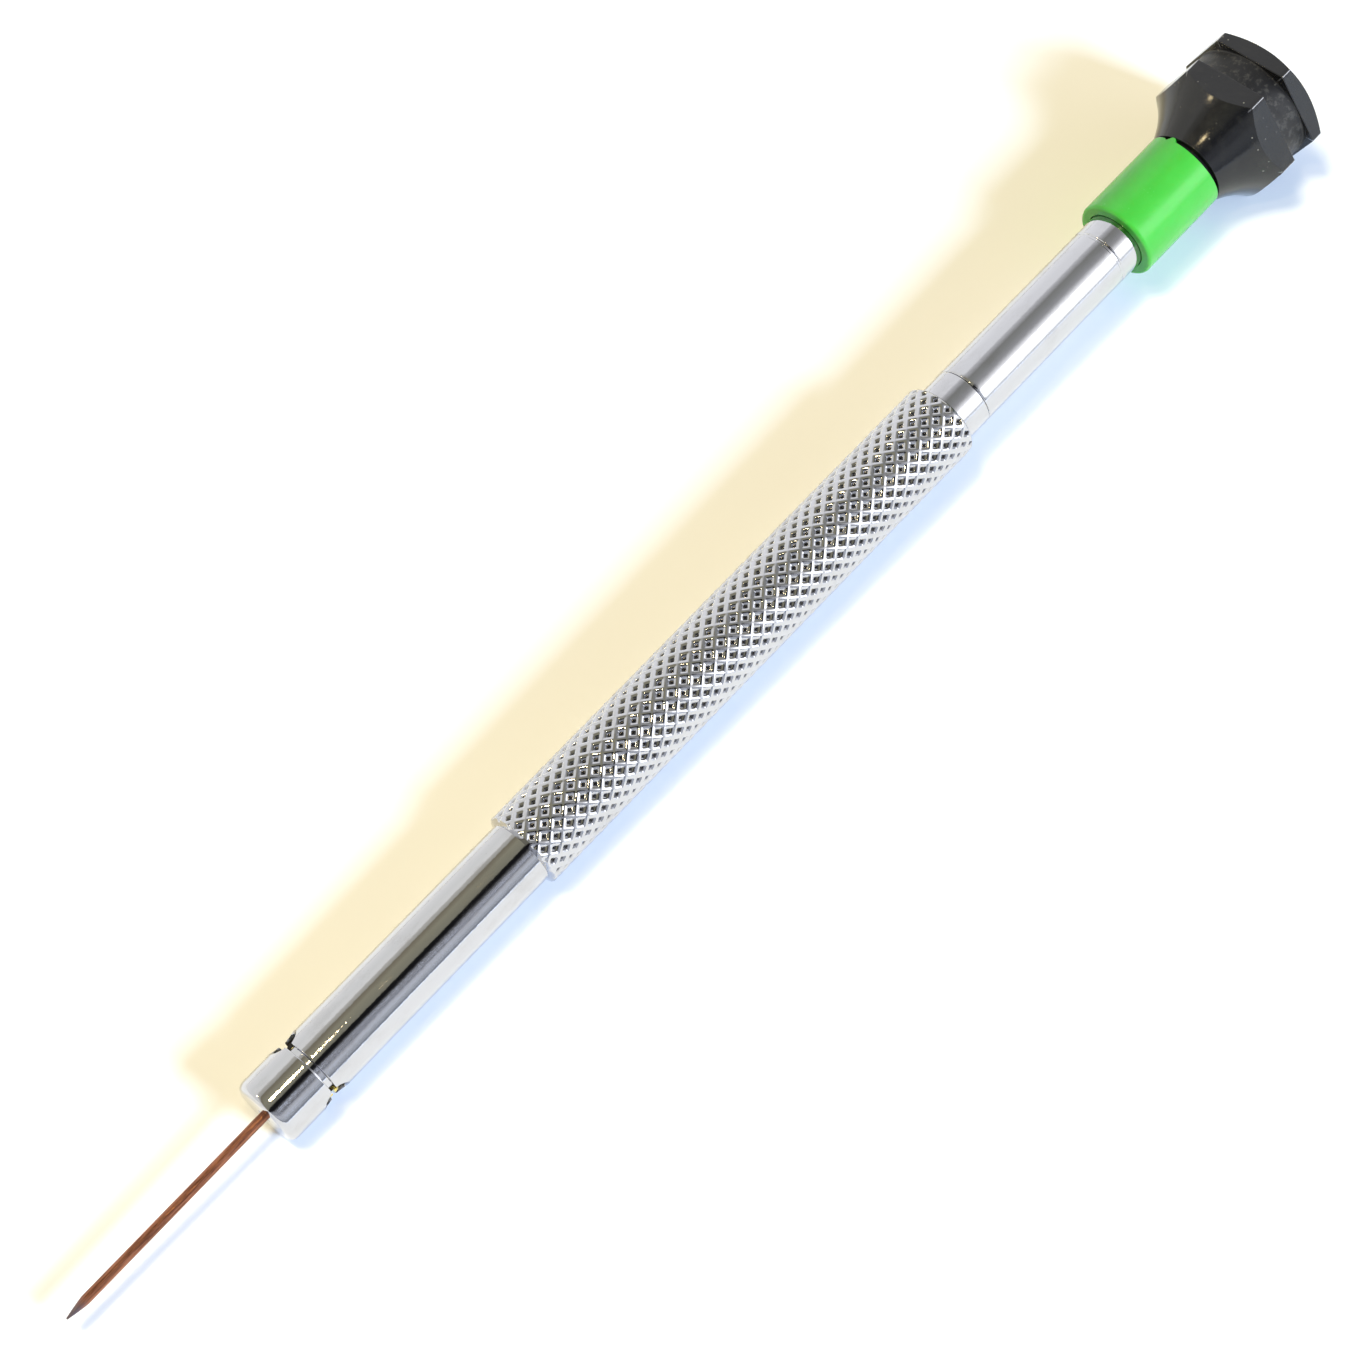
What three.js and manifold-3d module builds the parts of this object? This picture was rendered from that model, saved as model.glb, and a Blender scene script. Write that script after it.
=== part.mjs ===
// Watchmaker's screwdriver: a knurled metal handle with a clamped blade, and a free-turning
// hexagonal head on a small ball thrust bearing, marked with a coloured plastic ring.
//
// Units are millimetres, +Z up. The tool lies on one flat of its head with its axis along X:
// -X is the blade tip, +X the head, and the origin is under the middle of the whole object.
// Inside this file every x is measured from the blade tip, and the root group moves it all.

import * as THREE from "three";
import { mergeVertices } from "three/addons/utils/BufferGeometryUtils.js";
import Module from "manifold-3d";

const wasm = await Module();
wasm.setup();

// ---- driving dimensions ------------------------------------------------------------------

const ROLL = THREE.MathUtils.degToRad(27); // how far the handle is turned about its own axis

const BLADE_R = 0.3;
const BLADE_LENGTH = 25.5;
const WEDGE_LENGTH = 1.45;
const WEDGE_EDGE = 0.1; // thickness of the ground tip

const NOSE_X = 15.5; // front face of the handle
const NOSE_ROUND = 0.5;
const COLLAR_R = 2.25;
const CROSS_HOLE_X = 19.15;
const NECK_GROOVE_WIDTH = 0.5;
const NECK_GROOVE_R = 1.9;
const BARREL_R = 2.18;
const GRIP_START_X = 36.8;
const GRIP_END_X = 75.0;
const GRIP_R = 2.6;
const GRIP_CHAMFER = 0.3;
const SHAFT_R = 2.075;
const HANDLE_END_X = 77.0;

const BLADE_BORE_R = 0.36;
const BLADE_BORE_END_X = 25.7;
const MAGAZINE_R = 1.2; // hollow for the spare blades
const MAGAZINE_START_X = 40.0;
const SOCKET_START_X = 71.0; // threaded socket that takes the rear spindle
const SOCKET_R = 1.56;

const SCREW_R = 0.5;
const SCREW_HOLE_R = 0.55;
const SCREW_INNER = 0.37; // distance of each screw's inner end from the tool's axis
const SCREW_OUTER_A = 1.65; // and of their outer ends: screw b stands a little prouder
const SCREW_OUTER_B = 2.05;
const SLOT_WIDTH = 0.2;
const SLOT_DEPTH = 0.35;
const COUNTERSINK_R = 1.25;
const COUNTERSINK_DEPTH = 0.6;

const SPINDLE_START_X = 77.1;
const SPINDLE_END_X = 93.5;
const SPIGOT_START_X = 71.2;
const SPIGOT_R = 1.5;
const FINE_GROOVE_X = 90.1;
const FINE_GROOVE_WIDTH = 0.12;
const FINE_GROOVE_DEPTH = 0.06;

const PIN_R = 0.8;
const PIN_START_X = 88.1;
const PIN_END_X = 102.3;
const PIN_NECK_R = 0.55;
const CLIP_X = 101.35;
const CLIP_THICKNESS = 0.3;

const WASHER_THICKNESS = 0.4;
const WASHER_R = 2.0;
const WASHER_BORE_R = 0.88;
const FRONT_WASHER_X = 93.55;
const BALL_R = 0.4;
const BALL_COUNT = 8;
const BALL_PITCH_R = 1.45;
const BALL_GAP = 0.05; // free space each side of the balls
const CAGE_THICKNESS = 0.44;

const HEAD_START_X = 95.35;
const HEAD_SPIGOT_R = 2.38;
const BUSH_R = 1.5;
const BUSH_END_X = 100.95;

const RING_START_X = 91.85;
const RING_END_X = 98.85;
const RING_R = 2.78;
const RING_LIP_R = 2.2; // bore of the front lip, running over the spindle
const RING_LIP_END_X = 93.0;
const RING_BORE_R = 2.43;

const NECK_X = 98.9;
const NECK_R = 2.72;
const FLATS = 8.9; // across the flats of the head
const HEX_R = FLATS / 2 / Math.cos(Math.PI / 6);
const FLARE_END_X = 102.42; // where the flare reaches the hexagon's corners
const FLARE_START_ANGLE = THREE.MathUtils.degToRad(20);
const WAIST_START_X = 103.58;
const WAIST_END_X = 105.47;
const WAIST_R = 4.3;
const CROWN_X = 106.25; // where the turned crown cuts the hexagon's corners
const CROWN_ANGLE = THREE.MathUtils.degToRad(30);
const RIM_OUTER_R = 3.8;
const RIM_INNER_R = 3.45;
const DISH_DEPTH = 0.5;

const AXIS_Z = FLATS / 2;
const RIM_X = CROWN_X + (HEX_R - RIM_OUTER_R) * Math.tan(CROWN_ANGLE);

// ---- helpers -----------------------------------------------------------------------------

// A solid of revolution about X, from [x, radius] points that run clockwise seen with +X right.
function turned(points, segments = 40) {
  const profile = points.map(([x, r]) => new THREE.Vector2(r, x));
  return new THREE.LatheGeometry(profile, segments).rotateZ(-Math.PI / 2);
}

// A plain or hollow cylinder about X, with small chamfers on its outer edges.
function turnedTube(x0, x1, bore, radius, chamfer, segments = 40) {
  const outer = [
    [x0, radius - chamfer],
    [x0 + chamfer, radius],
    [x1 - chamfer, radius],
    [x1, radius - chamfer],
  ];
  if (bore === 0) {
    return turned([[x0, 0], ...outer, [x1, 0]], segments);
  }
  return turned([[x0, bore], ...outer, [x1, bore], [x0, bore]], segments);
}

// Points on a circular arc of a profile, both ends included.
function arc(cx, cr, radius, from, to, steps) {
  const points = [];
  for (let i = 0; i <= steps; i += 1) {
    const angle = from + ((to - from) * i) / steps;
    points.push([cx + radius * Math.cos(angle), cr + radius * Math.sin(angle)]);
  }
  return points;
}

function toSolid(geometry) {
  const bare = geometry.clone();
  bare.deleteAttribute("normal");
  bare.deleteAttribute("uv");
  const merged = mergeVertices(bare, 1e-5);
  const vertProperties = new Float32Array(merged.attributes.position.array);
  const triVerts = new Uint32Array(merged.index.array);
  return new wasm.Manifold(new wasm.Mesh({ numProp: 3, vertProperties, triVerts }));
}

function toGeometry(solid) {
  const mesh = solid.getMesh();
  const geometry = new THREE.BufferGeometry();
  geometry.setAttribute("position", new THREE.BufferAttribute(mesh.vertProperties, 3));
  geometry.setIndex(new THREE.BufferAttribute(mesh.triVerts, 1));
  geometry.computeVertexNormals();
  return geometry;
}

function finish(color, roughness, metalness) {
  return new THREE.MeshStandardMaterial({ color, roughness, metalness });
}

function part(name, geometry, material) {
  const mesh = new THREE.Mesh(geometry, material);
  mesh.name = name;
  return mesh;
}

const chrome = finish(0xd6d8dc, 0.12, 1.0);
const bearingSteel = finish(0xb9bcc2, 0.25, 1.0);
const bladeSteel = finish(0x96503a, 0.35, 1.0);
const brass = finish(0xcdb45a, 0.3, 1.0);
const bronze = finish(0xa9773f, 0.45, 1.0);
const springSteel = finish(0x6c7079, 0.35, 1.0);
const blackHead = finish(0x232428, 0.3, 0.2);
const greenPlastic = finish(0x4fd747, 0.4, 0.0);

// ---- sub-parts ---------------------------------------------------------------------------

// Nose, barrel, knurled grip and rear neck in one bar, bored for the blade, the two clamp
// screws, the spare blades and the rear spindle.
function handleBody() {
  const grooveHalf = NECK_GROOVE_WIDTH / 2;
  const outside = turned([
    [NOSE_X, 0],
    ...arc(NOSE_X + NOSE_ROUND, COLLAR_R - NOSE_ROUND, NOSE_ROUND, Math.PI, Math.PI / 2, 5),
    [CROSS_HOLE_X - grooveHalf - 0.04, COLLAR_R],
    [CROSS_HOLE_X - grooveHalf, NECK_GROOVE_R],
    [CROSS_HOLE_X + grooveHalf, NECK_GROOVE_R],
    [CROSS_HOLE_X + grooveHalf + 0.04, BARREL_R],
    [GRIP_START_X, BARREL_R],
    [GRIP_START_X + GRIP_CHAMFER, GRIP_R],
    ...arc(GRIP_END_X - GRIP_CHAMFER, GRIP_R - GRIP_CHAMFER, GRIP_CHAMFER, Math.PI / 2, 0, 4),
    [GRIP_END_X, SHAFT_R],
    [HANDLE_END_X, SHAFT_R],
    [HANDLE_END_X, 0],
  ]);
  const bladeBore = turned([
    [NOSE_X - 1, 0],
    [NOSE_X - 1, BLADE_BORE_R],
    [BLADE_BORE_END_X, BLADE_BORE_R],
    [BLADE_BORE_END_X + BLADE_BORE_R / 2, 0],
  ], 24);
  const magazine = turned([
    [MAGAZINE_START_X - MAGAZINE_R / 2, 0],
    [MAGAZINE_START_X, MAGAZINE_R],
    [SOCKET_START_X, MAGAZINE_R],
    [SOCKET_START_X, SOCKET_R],
    [HANDLE_END_X + 1, SOCKET_R],
    [HANDLE_END_X + 1, 0],
  ], 32);
  const reach = COLLAR_R + 1;
  const sinkInner = COLLAR_R - COUNTERSINK_DEPTH;
  const sinkSlope = (COUNTERSINK_R - SCREW_HOLE_R) / COUNTERSINK_DEPTH;
  const sinkR = COUNTERSINK_R + (reach - COLLAR_R) * sinkSlope;
  const crossHole = turned([
    [-reach, 0],
    [-reach, sinkR],
    [-sinkInner, SCREW_HOLE_R],
    [sinkInner, SCREW_HOLE_R],
    [reach, sinkR],
    [reach, 0],
  ], 24);
  crossHole.rotateZ(Math.PI / 2);
  crossHole.rotateX(ROLL);
  crossHole.translate(CROSS_HOLE_X, 0, 0);
  const body = toSolid(outside)
    .subtract(toSolid(bladeBore))
    .subtract(toSolid(magazine))
    .subtract(toSolid(crossHole));
  return part("handle_body", toGeometry(body), chrome);
}

// A round blade whose tip is ground on two sides to a thin straight edge.
function bladeGeometry() {
  const rod = turned([
    [0, 0],
    [0, BLADE_R],
    [BLADE_LENGTH - 0.1, BLADE_R],
    [BLADE_LENGTH, BLADE_R - 0.1],
    [BLADE_LENGTH, 0],
  ], 24);
  const wedge = new THREE.Shape();
  wedge.moveTo(-0.5, 1);
  wedge.lineTo(-0.5, WEDGE_EDGE / 2);
  wedge.lineTo(0, WEDGE_EDGE / 2);
  wedge.lineTo(WEDGE_LENGTH, BLADE_R);
  wedge.lineTo(WEDGE_LENGTH, 1);
  const cutter = new THREE.ExtrudeGeometry(wedge, { depth: 2, bevelEnabled: false });
  cutter.translate(0, 0, -1);
  const otherCutter = cutter.clone().rotateX(Math.PI);
  const ground = toSolid(rod).subtract(toSolid(cutter)).subtract(toSolid(otherCutter));
  return toGeometry(ground).rotateX(ROLL);
}

// A slotted grub screw, standing on +Y and turned with the handle; side is 1 or -1 and outer is
// how far its slotted end is from the tool's axis.
function bladeScrew(name, side, outer) {
  const screw = turned([
    [SCREW_INNER, 0],
    [SCREW_INNER, SCREW_R - 0.25],
    [SCREW_INNER + 0.2, SCREW_R],
    [outer - 0.08, SCREW_R],
    [outer, SCREW_R - 0.08],
    [outer, 0],
  ], 24);
  const slot = new THREE.BoxGeometry(SLOT_DEPTH * 2, SLOT_WIDTH, SCREW_R * 3);
  slot.translate(outer, 0, 0);
  const geometry = toGeometry(toSolid(screw).subtract(toSolid(slot)));
  geometry.rotateZ((side * Math.PI) / 2);
  geometry.rotateX(ROLL);
  geometry.translate(CROSS_HOLE_X, 0, 0);
  return part(name, geometry, brass);
}

// Spare blades lie side by side in the hollow grip.
function spareBlades() {
  const start = MAGAZINE_START_X + 2;
  return [-1, 1].map((side, index) => {
    const blade = part(`spare_blade_${index + 1}`, bladeGeometry(), bladeSteel);
    blade.position.set(start, side * 0.42, -0.5);
    return blade;
  });
}

// The rear spindle screws into the handle and carries the head's pin.
function rearSpindle() {
  const grooveHalf = FINE_GROOVE_WIDTH / 2;
  const outside = turned([
    [SPIGOT_START_X, 0],
    [SPIGOT_START_X, SPIGOT_R - 0.2],
    [SPIGOT_START_X + 0.2, SPIGOT_R],
    [SPINDLE_START_X, SPIGOT_R],
    [SPINDLE_START_X, SHAFT_R],
    [FINE_GROOVE_X - grooveHalf, SHAFT_R],
    [FINE_GROOVE_X, SHAFT_R - FINE_GROOVE_DEPTH],
    [FINE_GROOVE_X + grooveHalf, SHAFT_R],
    [SPINDLE_END_X - 0.1, SHAFT_R],
    [SPINDLE_END_X, SHAFT_R - 0.1],
    [SPINDLE_END_X, 0],
  ]);
  const bore = turned([
    [PIN_START_X - 0.1, 0],
    [PIN_START_X - 0.1, PIN_R + 0.04],
    [SPINDLE_END_X + 1, PIN_R + 0.04],
    [SPINDLE_END_X + 1, 0],
  ], 32);
  return part("rear_spindle", toGeometry(toSolid(outside).subtract(toSolid(bore))), chrome);
}

// The fixed pin that the head turns on, with a neck for the snap ring.
function bearingPin() {
  const neckStart = CLIP_X - 0.05;
  const neckEnd = CLIP_X + CLIP_THICKNESS + 0.05;
  const pin = turned([
    [PIN_START_X, 0],
    [PIN_START_X, PIN_R],
    [neckStart, PIN_R],
    [neckStart, PIN_NECK_R],
    [neckEnd, PIN_NECK_R],
    [neckEnd, PIN_R - 0.05],
    [PIN_END_X - 0.25, PIN_R - 0.05],
    [PIN_END_X, PIN_R - 0.3],
    [PIN_END_X, 0],
  ], 32);
  return part("bearing_pin", pin, bearingSteel);
}

function raceWasher(name, x) {
  const washer = turnedTube(x, x + WASHER_THICKNESS, WASHER_BORE_R, WASHER_R, 0.05, 32);
  return part(name, washer, bearingSteel);
}

// The brass cage that keeps the balls apart, and the balls in it.
function ballRace() {
  const centre = FRONT_WASHER_X + WASHER_THICKNESS + BALL_GAP + BALL_R;
  const half = CAGE_THICKNESS / 2;
  let cage = toSolid(turnedTube(centre - half, centre + half, 0.9, WASHER_R, 0.04, 32));
  const balls = [];
  for (let i = 0; i < BALL_COUNT; i += 1) {
    const angle = (i * 2 * Math.PI) / BALL_COUNT;
    const y = BALL_PITCH_R * Math.cos(angle);
    const z = BALL_PITCH_R * Math.sin(angle);
    const pocket = new THREE.CylinderGeometry(BALL_R + 0.05, BALL_R + 0.05, 2, 12);
    pocket.rotateZ(Math.PI / 2);
    pocket.translate(centre, y, z);
    cage = cage.subtract(toSolid(pocket));
    const ball = part(`bearing_ball_${i + 1}`, ballGeometry(), bearingSteel);
    ball.position.set(centre, y, z);
    balls.push(ball);
  }
  return [part("ball_cage", toGeometry(cage), brass), ...balls];
}

function ballGeometry() {
  return new THREE.SphereGeometry(BALL_R, 12, 8);
}

// The bush pressed into the head, running on the pin.
function bearingBush() {
  const bush = turnedTube(HEAD_START_X + 0.1, BUSH_END_X, PIN_R + 0.06, BUSH_R, 0.1, 32);
  return part("bearing_bush", bush, bronze);
}

// The split spring ring that keeps the head on the pin.
function snapRing() {
  const ring = turnedTube(CLIP_X, CLIP_X + CLIP_THICKNESS, PIN_NECK_R + 0.07, 1.22, 0.05, 32);
  const gap = new THREE.BoxGeometry(1, 0.5, 2);
  gap.translate(CLIP_X, 0, 1);
  return part("snap_ring", toGeometry(toSolid(ring).subtract(toSolid(gap))), springSteel);
}

// The head: a turned neck and flare running into a hexagonal bar, with a turned waist between
// two bands of flats, a turned crown and a shallow dish for the fingertip.
function headCap() {
  const outerR = HEX_R + 0.3;
  const chord = Math.hypot(FLARE_END_X - NECK_X, HEX_R - NECK_R);
  const chordAngle = Math.atan2(HEX_R - NECK_R, FLARE_END_X - NECK_X);
  const halfTurn = chordAngle - FLARE_START_ANGLE;
  const flareR = chord / 2 / Math.sin(halfTurn);
  const flareCx = NECK_X - flareR * Math.sin(FLARE_START_ANGLE);
  const flareCr = NECK_R + flareR * Math.cos(FLARE_START_ANGLE);
  const flareFrom = FLARE_START_ANGLE - Math.PI / 2;
  const flareTo = flareFrom + 2 * halfTurn;
  const endSlope = Math.tan(flareTo + Math.PI / 2);
  const dishR = (RIM_INNER_R ** 2 + DISH_DEPTH ** 2) / (2 * DISH_DEPTH);
  const dishHalf = Math.asin(RIM_INNER_R / dishR);
  const outside = turned([
    [HEAD_START_X, 0],
    [HEAD_START_X, HEAD_SPIGOT_R],
    [NECK_X, HEAD_SPIGOT_R],
    ...arc(flareCx, flareCr, flareR, flareFrom, flareTo, 10),
    [FLARE_END_X + (outerR - HEX_R) / endSlope, outerR],
    [WAIST_START_X, outerR],
    [WAIST_START_X + 0.05, WAIST_R],
    [WAIST_END_X - 0.05, WAIST_R],
    [WAIST_END_X, outerR],
    [CROWN_X - (outerR - HEX_R) * Math.tan(CROWN_ANGLE), outerR],
    [RIM_X, RIM_OUTER_R],
    ...arc(RIM_X + dishR - DISH_DEPTH, 0, dishR, Math.PI - dishHalf, Math.PI, 8),
  ], 60);
  const length = RIM_X - HEAD_START_X + 2;
  const start = Math.PI / 6;
  const bar = new THREE.CylinderGeometry(HEX_R, HEX_R, length, 6, 1, false, start);
  bar.rotateZ(-Math.PI / 2);
  bar.translate((RIM_X + HEAD_START_X) / 2, 0, 0);
  const bushSeat = BUSH_END_X + 0.1;
  const ringGroove = CLIP_X - 0.05;
  const bore = turned([
    [HEAD_START_X - 1, 0],
    [HEAD_START_X - 1, BUSH_R + 0.04],
    [bushSeat, BUSH_R + 0.04],
    [bushSeat, 1.05],
    [ringGroove, 1.05],
    [ringGroove, 1.27],
    [ringGroove + CLIP_THICKNESS + 0.1, 1.27],
    [ringGroove + CLIP_THICKNESS + 0.1, 1.05],
    [PIN_END_X + 0.3, 1.05],
    [PIN_END_X + 0.7, 0],
  ], 32);
  const head = toSolid(outside).intersect(toSolid(bar)).subtract(toSolid(bore));
  return part("head_cap", toGeometry(head), blackHead);
}

// The plastic ring that tells the blade size, pushed onto the head's spigot.
function colourRing() {
  const ring = turned([
    [RING_START_X + 0.35, RING_LIP_R],
    [RING_START_X, RING_LIP_R + 0.3],
    [RING_START_X, RING_R - 0.08],
    [RING_START_X + 0.08, RING_R],
    [RING_END_X - 0.08, RING_R],
    [RING_END_X, RING_R - 0.08],
    [RING_END_X, RING_BORE_R],
    [RING_LIP_END_X, RING_BORE_R],
    [RING_LIP_END_X, RING_LIP_R],
    [RING_START_X + 0.35, RING_LIP_R],
  ], 48);
  return part("colour_ring", ring, greenPlastic);
}

// ---- assembly ----------------------------------------------------------------------------

const rearWasherX = FRONT_WASHER_X + WASHER_THICKNESS + 2 * (BALL_R + BALL_GAP);

const screwdriver = new THREE.Group();
screwdriver.add(
  handleBody(),
  part("blade", bladeGeometry(), bladeSteel),
  bladeScrew("blade_screw_a", 1, SCREW_OUTER_A),
  bladeScrew("blade_screw_b", -1, SCREW_OUTER_B),
  ...spareBlades(),
  rearSpindle(),
  bearingPin(),
  raceWasher("race_washer_front", FRONT_WASHER_X),
  ...ballRace(),
  raceWasher("race_washer_rear", rearWasherX),
  bearingBush(),
  snapRing(),
  headCap(),
  colourRing(),
);
screwdriver.position.set(-RIM_X / 2, 0, AXIS_Z);

const model = new THREE.Group();
model.add(screwdriver);

export default model;
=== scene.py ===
# %% [markdown]
# # A watchmaker's screwdriver
#
# This is a slim tool about 107 mm long. A thin brown blade is clamped in the chrome nose by two
# small brass screws. Behind it come a plain barrel, a diamond-knurled grip and a plain rear
# shaft. At the far end a black hexagonal head turns freely on a tiny ball race, so that a
# fingertip can press on it while the other fingers roll the grip. A green ring shows the size
# of the blade.
#
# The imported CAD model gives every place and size. It is faceted, so each piece that shows is
# made again here as a fine, smooth surface that stands for its CAD node. Nearly all of them are
# turned parts: an outline carried round an axis, which numpy works out as whole arrays.

import math

import bmesh
import bpy
import numpy as np
from mathutils import Matrix, Vector


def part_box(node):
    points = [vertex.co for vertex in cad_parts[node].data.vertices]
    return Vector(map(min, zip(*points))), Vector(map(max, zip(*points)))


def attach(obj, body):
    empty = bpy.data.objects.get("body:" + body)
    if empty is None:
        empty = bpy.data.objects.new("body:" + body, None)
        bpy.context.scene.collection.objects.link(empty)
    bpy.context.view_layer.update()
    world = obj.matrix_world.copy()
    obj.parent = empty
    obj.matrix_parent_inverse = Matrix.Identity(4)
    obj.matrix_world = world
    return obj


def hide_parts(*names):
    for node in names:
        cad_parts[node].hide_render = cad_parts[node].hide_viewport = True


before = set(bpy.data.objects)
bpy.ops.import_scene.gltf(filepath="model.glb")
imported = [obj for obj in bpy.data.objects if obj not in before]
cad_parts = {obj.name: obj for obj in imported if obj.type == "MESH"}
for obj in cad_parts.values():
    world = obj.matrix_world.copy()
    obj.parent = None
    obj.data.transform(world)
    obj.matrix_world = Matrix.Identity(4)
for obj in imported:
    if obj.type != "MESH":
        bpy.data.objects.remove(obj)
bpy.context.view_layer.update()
scene = bpy.context.scene
print("CAD nodes:", len(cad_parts))

# %% [markdown]
# ## Landmarks
#
# All pieces but the clamp screws are round about one line, the tool's axis. Distances along it
# are easiest to read in millimetres from the tip of the blade, so the script keeps the tip and
# the axis in metres and measures every other landmark from the CAD nodes' boxes.

# %% Landmarks, in millimetres from the blade's tip
MM = 0.001
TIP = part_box("blade")[0].x
AXIS_Z = (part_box("colour_ring")[0].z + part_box("colour_ring")[1].z) / 2


def span(node):
    """Where a node starts and ends along the tool, in millimetres from the tip."""
    low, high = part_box(node)
    return (low.x - TIP) / MM, (high.x - TIP) / MM


def radius_of(node):
    """Half of a node's width across the tool, in millimetres."""
    low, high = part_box(node)
    return (high.y - low.y) / 2 / MM


NOSE, HANDLE_END = span("handle_body")
SPIGOT_START, SPINDLE_END = span("rear_spindle")
RING_START, RING_END = span("colour_ring")
HEAD_START, HEAD_END = span("head_cap")
GRIP_R = radius_of("handle_body")
RING_R = radius_of("colour_ring")
HEX_R = radius_of("head_cap")
FLAT_R = AXIS_Z / MM
WAIST_START, WAIST_END = 103.58, 105.47
ROLL = math.radians(27)
print(f"nose {NOSE:.2f}, handle ends {HANDLE_END:.2f}, head {HEAD_START:.2f} to {HEAD_END:.2f}")

# %% [markdown]
# ## Outlines
#
# A lathe cuts a shape that is fully told by its outline: how far out the metal reaches at each
# point along the axis. Real turned edges are never knife sharp, and on a polished part it is
# the small roundings that catch the light, so an outline's corner can be given a radius. The
# arithmetic works on one outline or on one outline for each direction round the axis, which is
# what the hexagonal head needs.

# %% Outlines with rounded corners
ARC_STEPS = 5
SUPPORT = 0.03
LONGEST_REACH = 0.48
TINY = 1e-9


def rounded_corner(before, at, after, radius):
    """The arc of a circle that touches both sides of a corner.

    The half angle h between the sides gives the distance radius / tan(h) from the corner to
    where the arc starts, and the centre lies radius / sin(h) along the corner's bisector. The
    points between are the start and end turned into each other about the centre.
    """
    side_a = before - at
    side_b = after - at
    length_a = np.linalg.norm(side_a, axis=-1, keepdims=True)
    length_b = np.linalg.norm(side_b, axis=-1, keepdims=True)
    side_a = side_a / np.maximum(length_a, TINY)
    side_b = side_b / np.maximum(length_b, TINY)
    half = np.arccos(np.clip((side_a * side_b).sum(-1, keepdims=True), -1, 1)) / 2
    half = np.clip(half, 1e-3, math.pi / 2 - 1e-3)
    longest = LONGEST_REACH * np.minimum(length_a, length_b)
    reach = np.minimum(radius / np.tan(half), longest)
    bisector = side_a + side_b
    bisector = bisector / np.maximum(np.linalg.norm(bisector, axis=-1, keepdims=True), TINY)
    centre = at + bisector * reach / np.cos(half)
    start = at + side_a * reach - centre
    end = at + side_b * reach - centre
    sweep = math.pi - 2 * half
    arc = []
    for t in np.linspace(0, 1, ARC_STEPS + 1):
        from_centre = np.sin((1 - t) * sweep) * start + np.sin(t * sweep) * end
        arc.append(centre + from_centre / np.sin(sweep))
    return arc


def outline(points, columns=1):
    """An array of (along, out) rows from points of (along, out, rounding), in millimetres.

    Along and out may be single numbers, or one number for each direction round the axis. A
    row a little before and after each arc keeps the arc's shading out of the straight parts.
    """
    at = [np.stack([np.zeros(columns) + p[0], np.zeros(columns) + p[1]], -1) for p in points]
    rows = [at[0]]
    for i in range(1, len(points) - 1):
        rounding = points[i][2] if len(points[i]) > 2 else 0
        if rounding > 0:
            arc = rounded_corner(at[i - 1], at[i], at[i + 1], rounding)
            rows.append(arc[0] + SUPPORT * (at[i - 1] - arc[0]))
            rows.extend(arc)
            rows.append(arc[-1] + SUPPORT * (at[i + 1] - arc[-1]))
        else:
            rows.append(at[i])
    rows.append(at[-1])
    return np.array(rows)


def band_section(start, end, bore, radius, edge):
    """The closed outline of a ring or sleeve: a rectangle with four rounded corners."""
    points = [
        ((start + end) / 2, bore),
        (start, bore, edge),
        (start, radius, edge),
        (end, radius, edge),
        (end, bore, edge),
    ]
    return outline([*points, points[0]])[:-1]


def arc_points(centre, radius, start, end, steps):
    """(along, out) points on a circle about centre, from one angle to another, in radians."""
    along, out = centre
    angles = np.linspace(start, end, steps + 1)
    return [(along + radius * math.cos(a), out + radius * math.sin(a)) for a in angles]


# %% [markdown]
# ## From points to a mesh
#
# A grid of points becomes a skin by joining each point to the next one along and the next one
# round. The seam needs no care, because the last column is simply joined to the first, and a
# row that shrinks to a point on the axis is merged into one vertex, so every skin is closed.
# Edges that turn by more than a set angle are marked sharp, and all the rest shade smoothly.

# %% Skins and cuts
SHARP = math.radians(38)
MERGE = 2e-8
ROUND = 96
ALONG_TOOL = ((TIP, 0, AXIS_Z), (1, 0, 0), (0, 1, 0), (0, 0, 1))


def finish_mesh(mesh, sharp=SHARP):
    """Merge doubled points and shade the mesh smoothly between its sharp edges."""
    work = bmesh.new()
    work.from_mesh(mesh)
    bmesh.ops.remove_doubles(work, verts=work.verts, dist=MERGE)
    work.to_mesh(mesh)
    work.free()
    mesh.polygons.foreach_set("use_smooth", np.ones(len(mesh.polygons), bool))
    mesh.set_sharp_from_angle(angle=sharp)
    mesh.update()
    return mesh


def skin(name, points, ring=False, diagonal=None, sharp=SHARP):
    """An object whose faces join a grid of points; ring also joins its last row to its first.

    diagonal says, for each face, which way it is cut in two triangles: 1 from its first corner,
    2 across it, and 0 for a face that stays whole.
    """
    rows, columns = points.shape[:2]
    ids = np.arange(rows * columns).reshape(rows, columns)
    if ring:
        ids = np.vstack([ids, ids[:1]])
    beside = np.roll(ids, -1, axis=1)
    quads = np.stack([ids[:-1], beside[:-1], beside[1:], ids[1:]], -1).reshape(-1, 4)
    faces = []
    if diagonal is not None:
        way = diagonal.reshape(-1)
        first = quads[way == 1]
        across = quads[way == 2]
        for part, picks in ((first, ((0, 1, 2), (0, 2, 3))), (across, ((0, 1, 3), (1, 2, 3)))):
            for pick in picks:
                faces.extend(part[:, pick].tolist())
        quads = quads[way == 0]
    faces.extend(quads.tolist())
    mesh = bpy.data.meshes.new(name)
    mesh.from_pydata(points.reshape(-1, 3).tolist(), [], faces)
    piece = bpy.data.objects.new(name, finish_mesh(mesh, sharp))
    scene.collection.objects.link(piece)
    return piece


def around(count):
    """Evenly spaced directions round the axis, in radians."""
    return np.arange(count) * 2 * math.pi / count


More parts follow.
